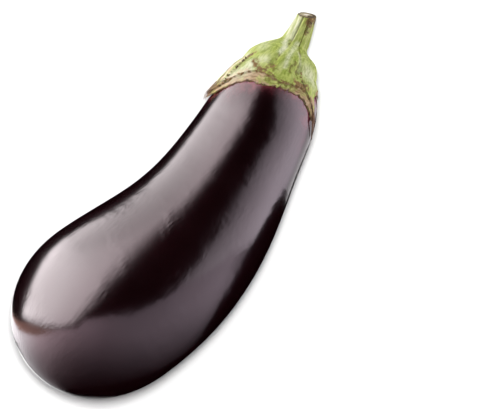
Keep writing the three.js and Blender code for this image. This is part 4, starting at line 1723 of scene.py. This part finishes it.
make_card(
    "left_rim_light",
    bottom=[(-0.2, -0.93), (-0.2, -0.965)], top=[(-0.86, -0.4), (-0.905, -0.41)],
    left=[(-0.2, -0.93), (-0.42, -0.855), (-0.6, -0.73), (-0.76, -0.57), (-0.86, -0.4)],
    right=[(-0.2, -0.965), (-0.45, -0.88), (-0.64, -0.755), (-0.8, -0.59), (-0.905, -0.41)],
    glow=((0.2, 0.2), (3.4, 3.4)), rise=(0, 0.06, 0.25, 0.6, 1), soft=(0.5, 0, 0.1, 0.2),
    distances=(0.65, 0.65),
)

# %% [markdown]
# ## Cards on the right
# A second softbox lights the belly's right side, and a dim wall closes the gap between it and the
# fruit's outline.

# %% Right cards
make_card(
    "right_softbox",
    bottom=[(0.32, -0.15), (0.58, -0.18), (0.74, -0.27), (0.87, -0.4)],
    top=[(0.12, 0.5), (0.94, 0.25)],
    left=[(0.32, -0.15), (0.35, 0.05), (0.12, 0.5)], right=[(0.87, -0.4), (0.88, -0.1), (0.94, 0.25)],
    glow=((1.8, 3.2, 4.1, 4.8, 5.2, 5.2, 4.2, 3.2, 1.6),
          (0.7, 1.6, 3.0, 4.1, 5.1, 5.6, 5.0, 4.2, 2.0)),
    soft=(0.06, 0, 0, 0.1), tints=((1, 0.84, 0.95), (1, 0.86, 0.98)), distances=(0.4, 0.7),
)
make_card(
    "right_wall",
    bottom=[(0.84, -0.46), (0.9, -0.43)], top=[(0.94, 0.25), (0.965, 0.25)],
    left=[(0.84, -0.46), (0.87, -0.4), (0.88, -0.1), (0.94, 0.25)],
    right=[(0.88, -0.46), (0.98, -0.1), (0.96, 0.25)],
    glow=((1.5, 1.5), (1.5, 1.5)), tints=((1, 0.93, 0.98), (1, 0.96, 0.99)),
)

# %% [markdown]
# ## A black flag
# Low on the fruit's right side the right softbox would be mirrored too far down, so a black flag
# hangs between them, as studios do. It is a rounded shield close to the fruit, so its mirrored edge
# bends and sharpens towards the belly, as the edge of a near thing does.

# %% Black flag
FLAG_MIDDLE = (41, -51, -12)         # millimetres to the view's right, to its top, and up
FLAG_HALF_SIZE = (101, 43, 54.5)
FLAG_RINGS = 48


def make_flag():
    cos, sin = math.cos(VIEW_TURN), math.sin(VIEW_TURN)
    right, top = Vector((cos, -sin, 0)), Vector((sin, cos, 0))
    middle = Vector((*VIEW_CENTRE, 0)) + MM * (right * FLAG_MIDDLE[0] + top * FLAG_MIDDLE[1])
    middle.z = FLAG_MIDDLE[2] * MM
    points = []
    for tilt in np.linspace(0, math.pi, FLAG_RINGS + 1):
        for turn in np.linspace(0, 2 * math.pi, 2 * FLAG_RINGS, endpoint=False):
            ball = (math.sin(tilt) * math.cos(turn), math.sin(tilt) * math.sin(turn), math.cos(tilt))
            across_view, up_view, up = (MM * half * part for half, part in zip(FLAG_HALF_SIZE, ball))
            points.append(middle + right * across_view + top * up_view + Vector((0, 0, up)))
    flag = make_object("black_flag", points, [], ring_faces(FLAG_RINGS + 1, 2 * FLAG_RINGS))
    hang(flag, [(0, 0, 0, 1)] * len(points))


make_flag()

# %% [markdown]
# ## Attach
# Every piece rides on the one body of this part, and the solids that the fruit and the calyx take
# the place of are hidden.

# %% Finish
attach(fruit, "root")
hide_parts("fruit")
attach(calyx, "root")
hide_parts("calyx")
for piece in (prickles, threads):
    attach(piece, "root")
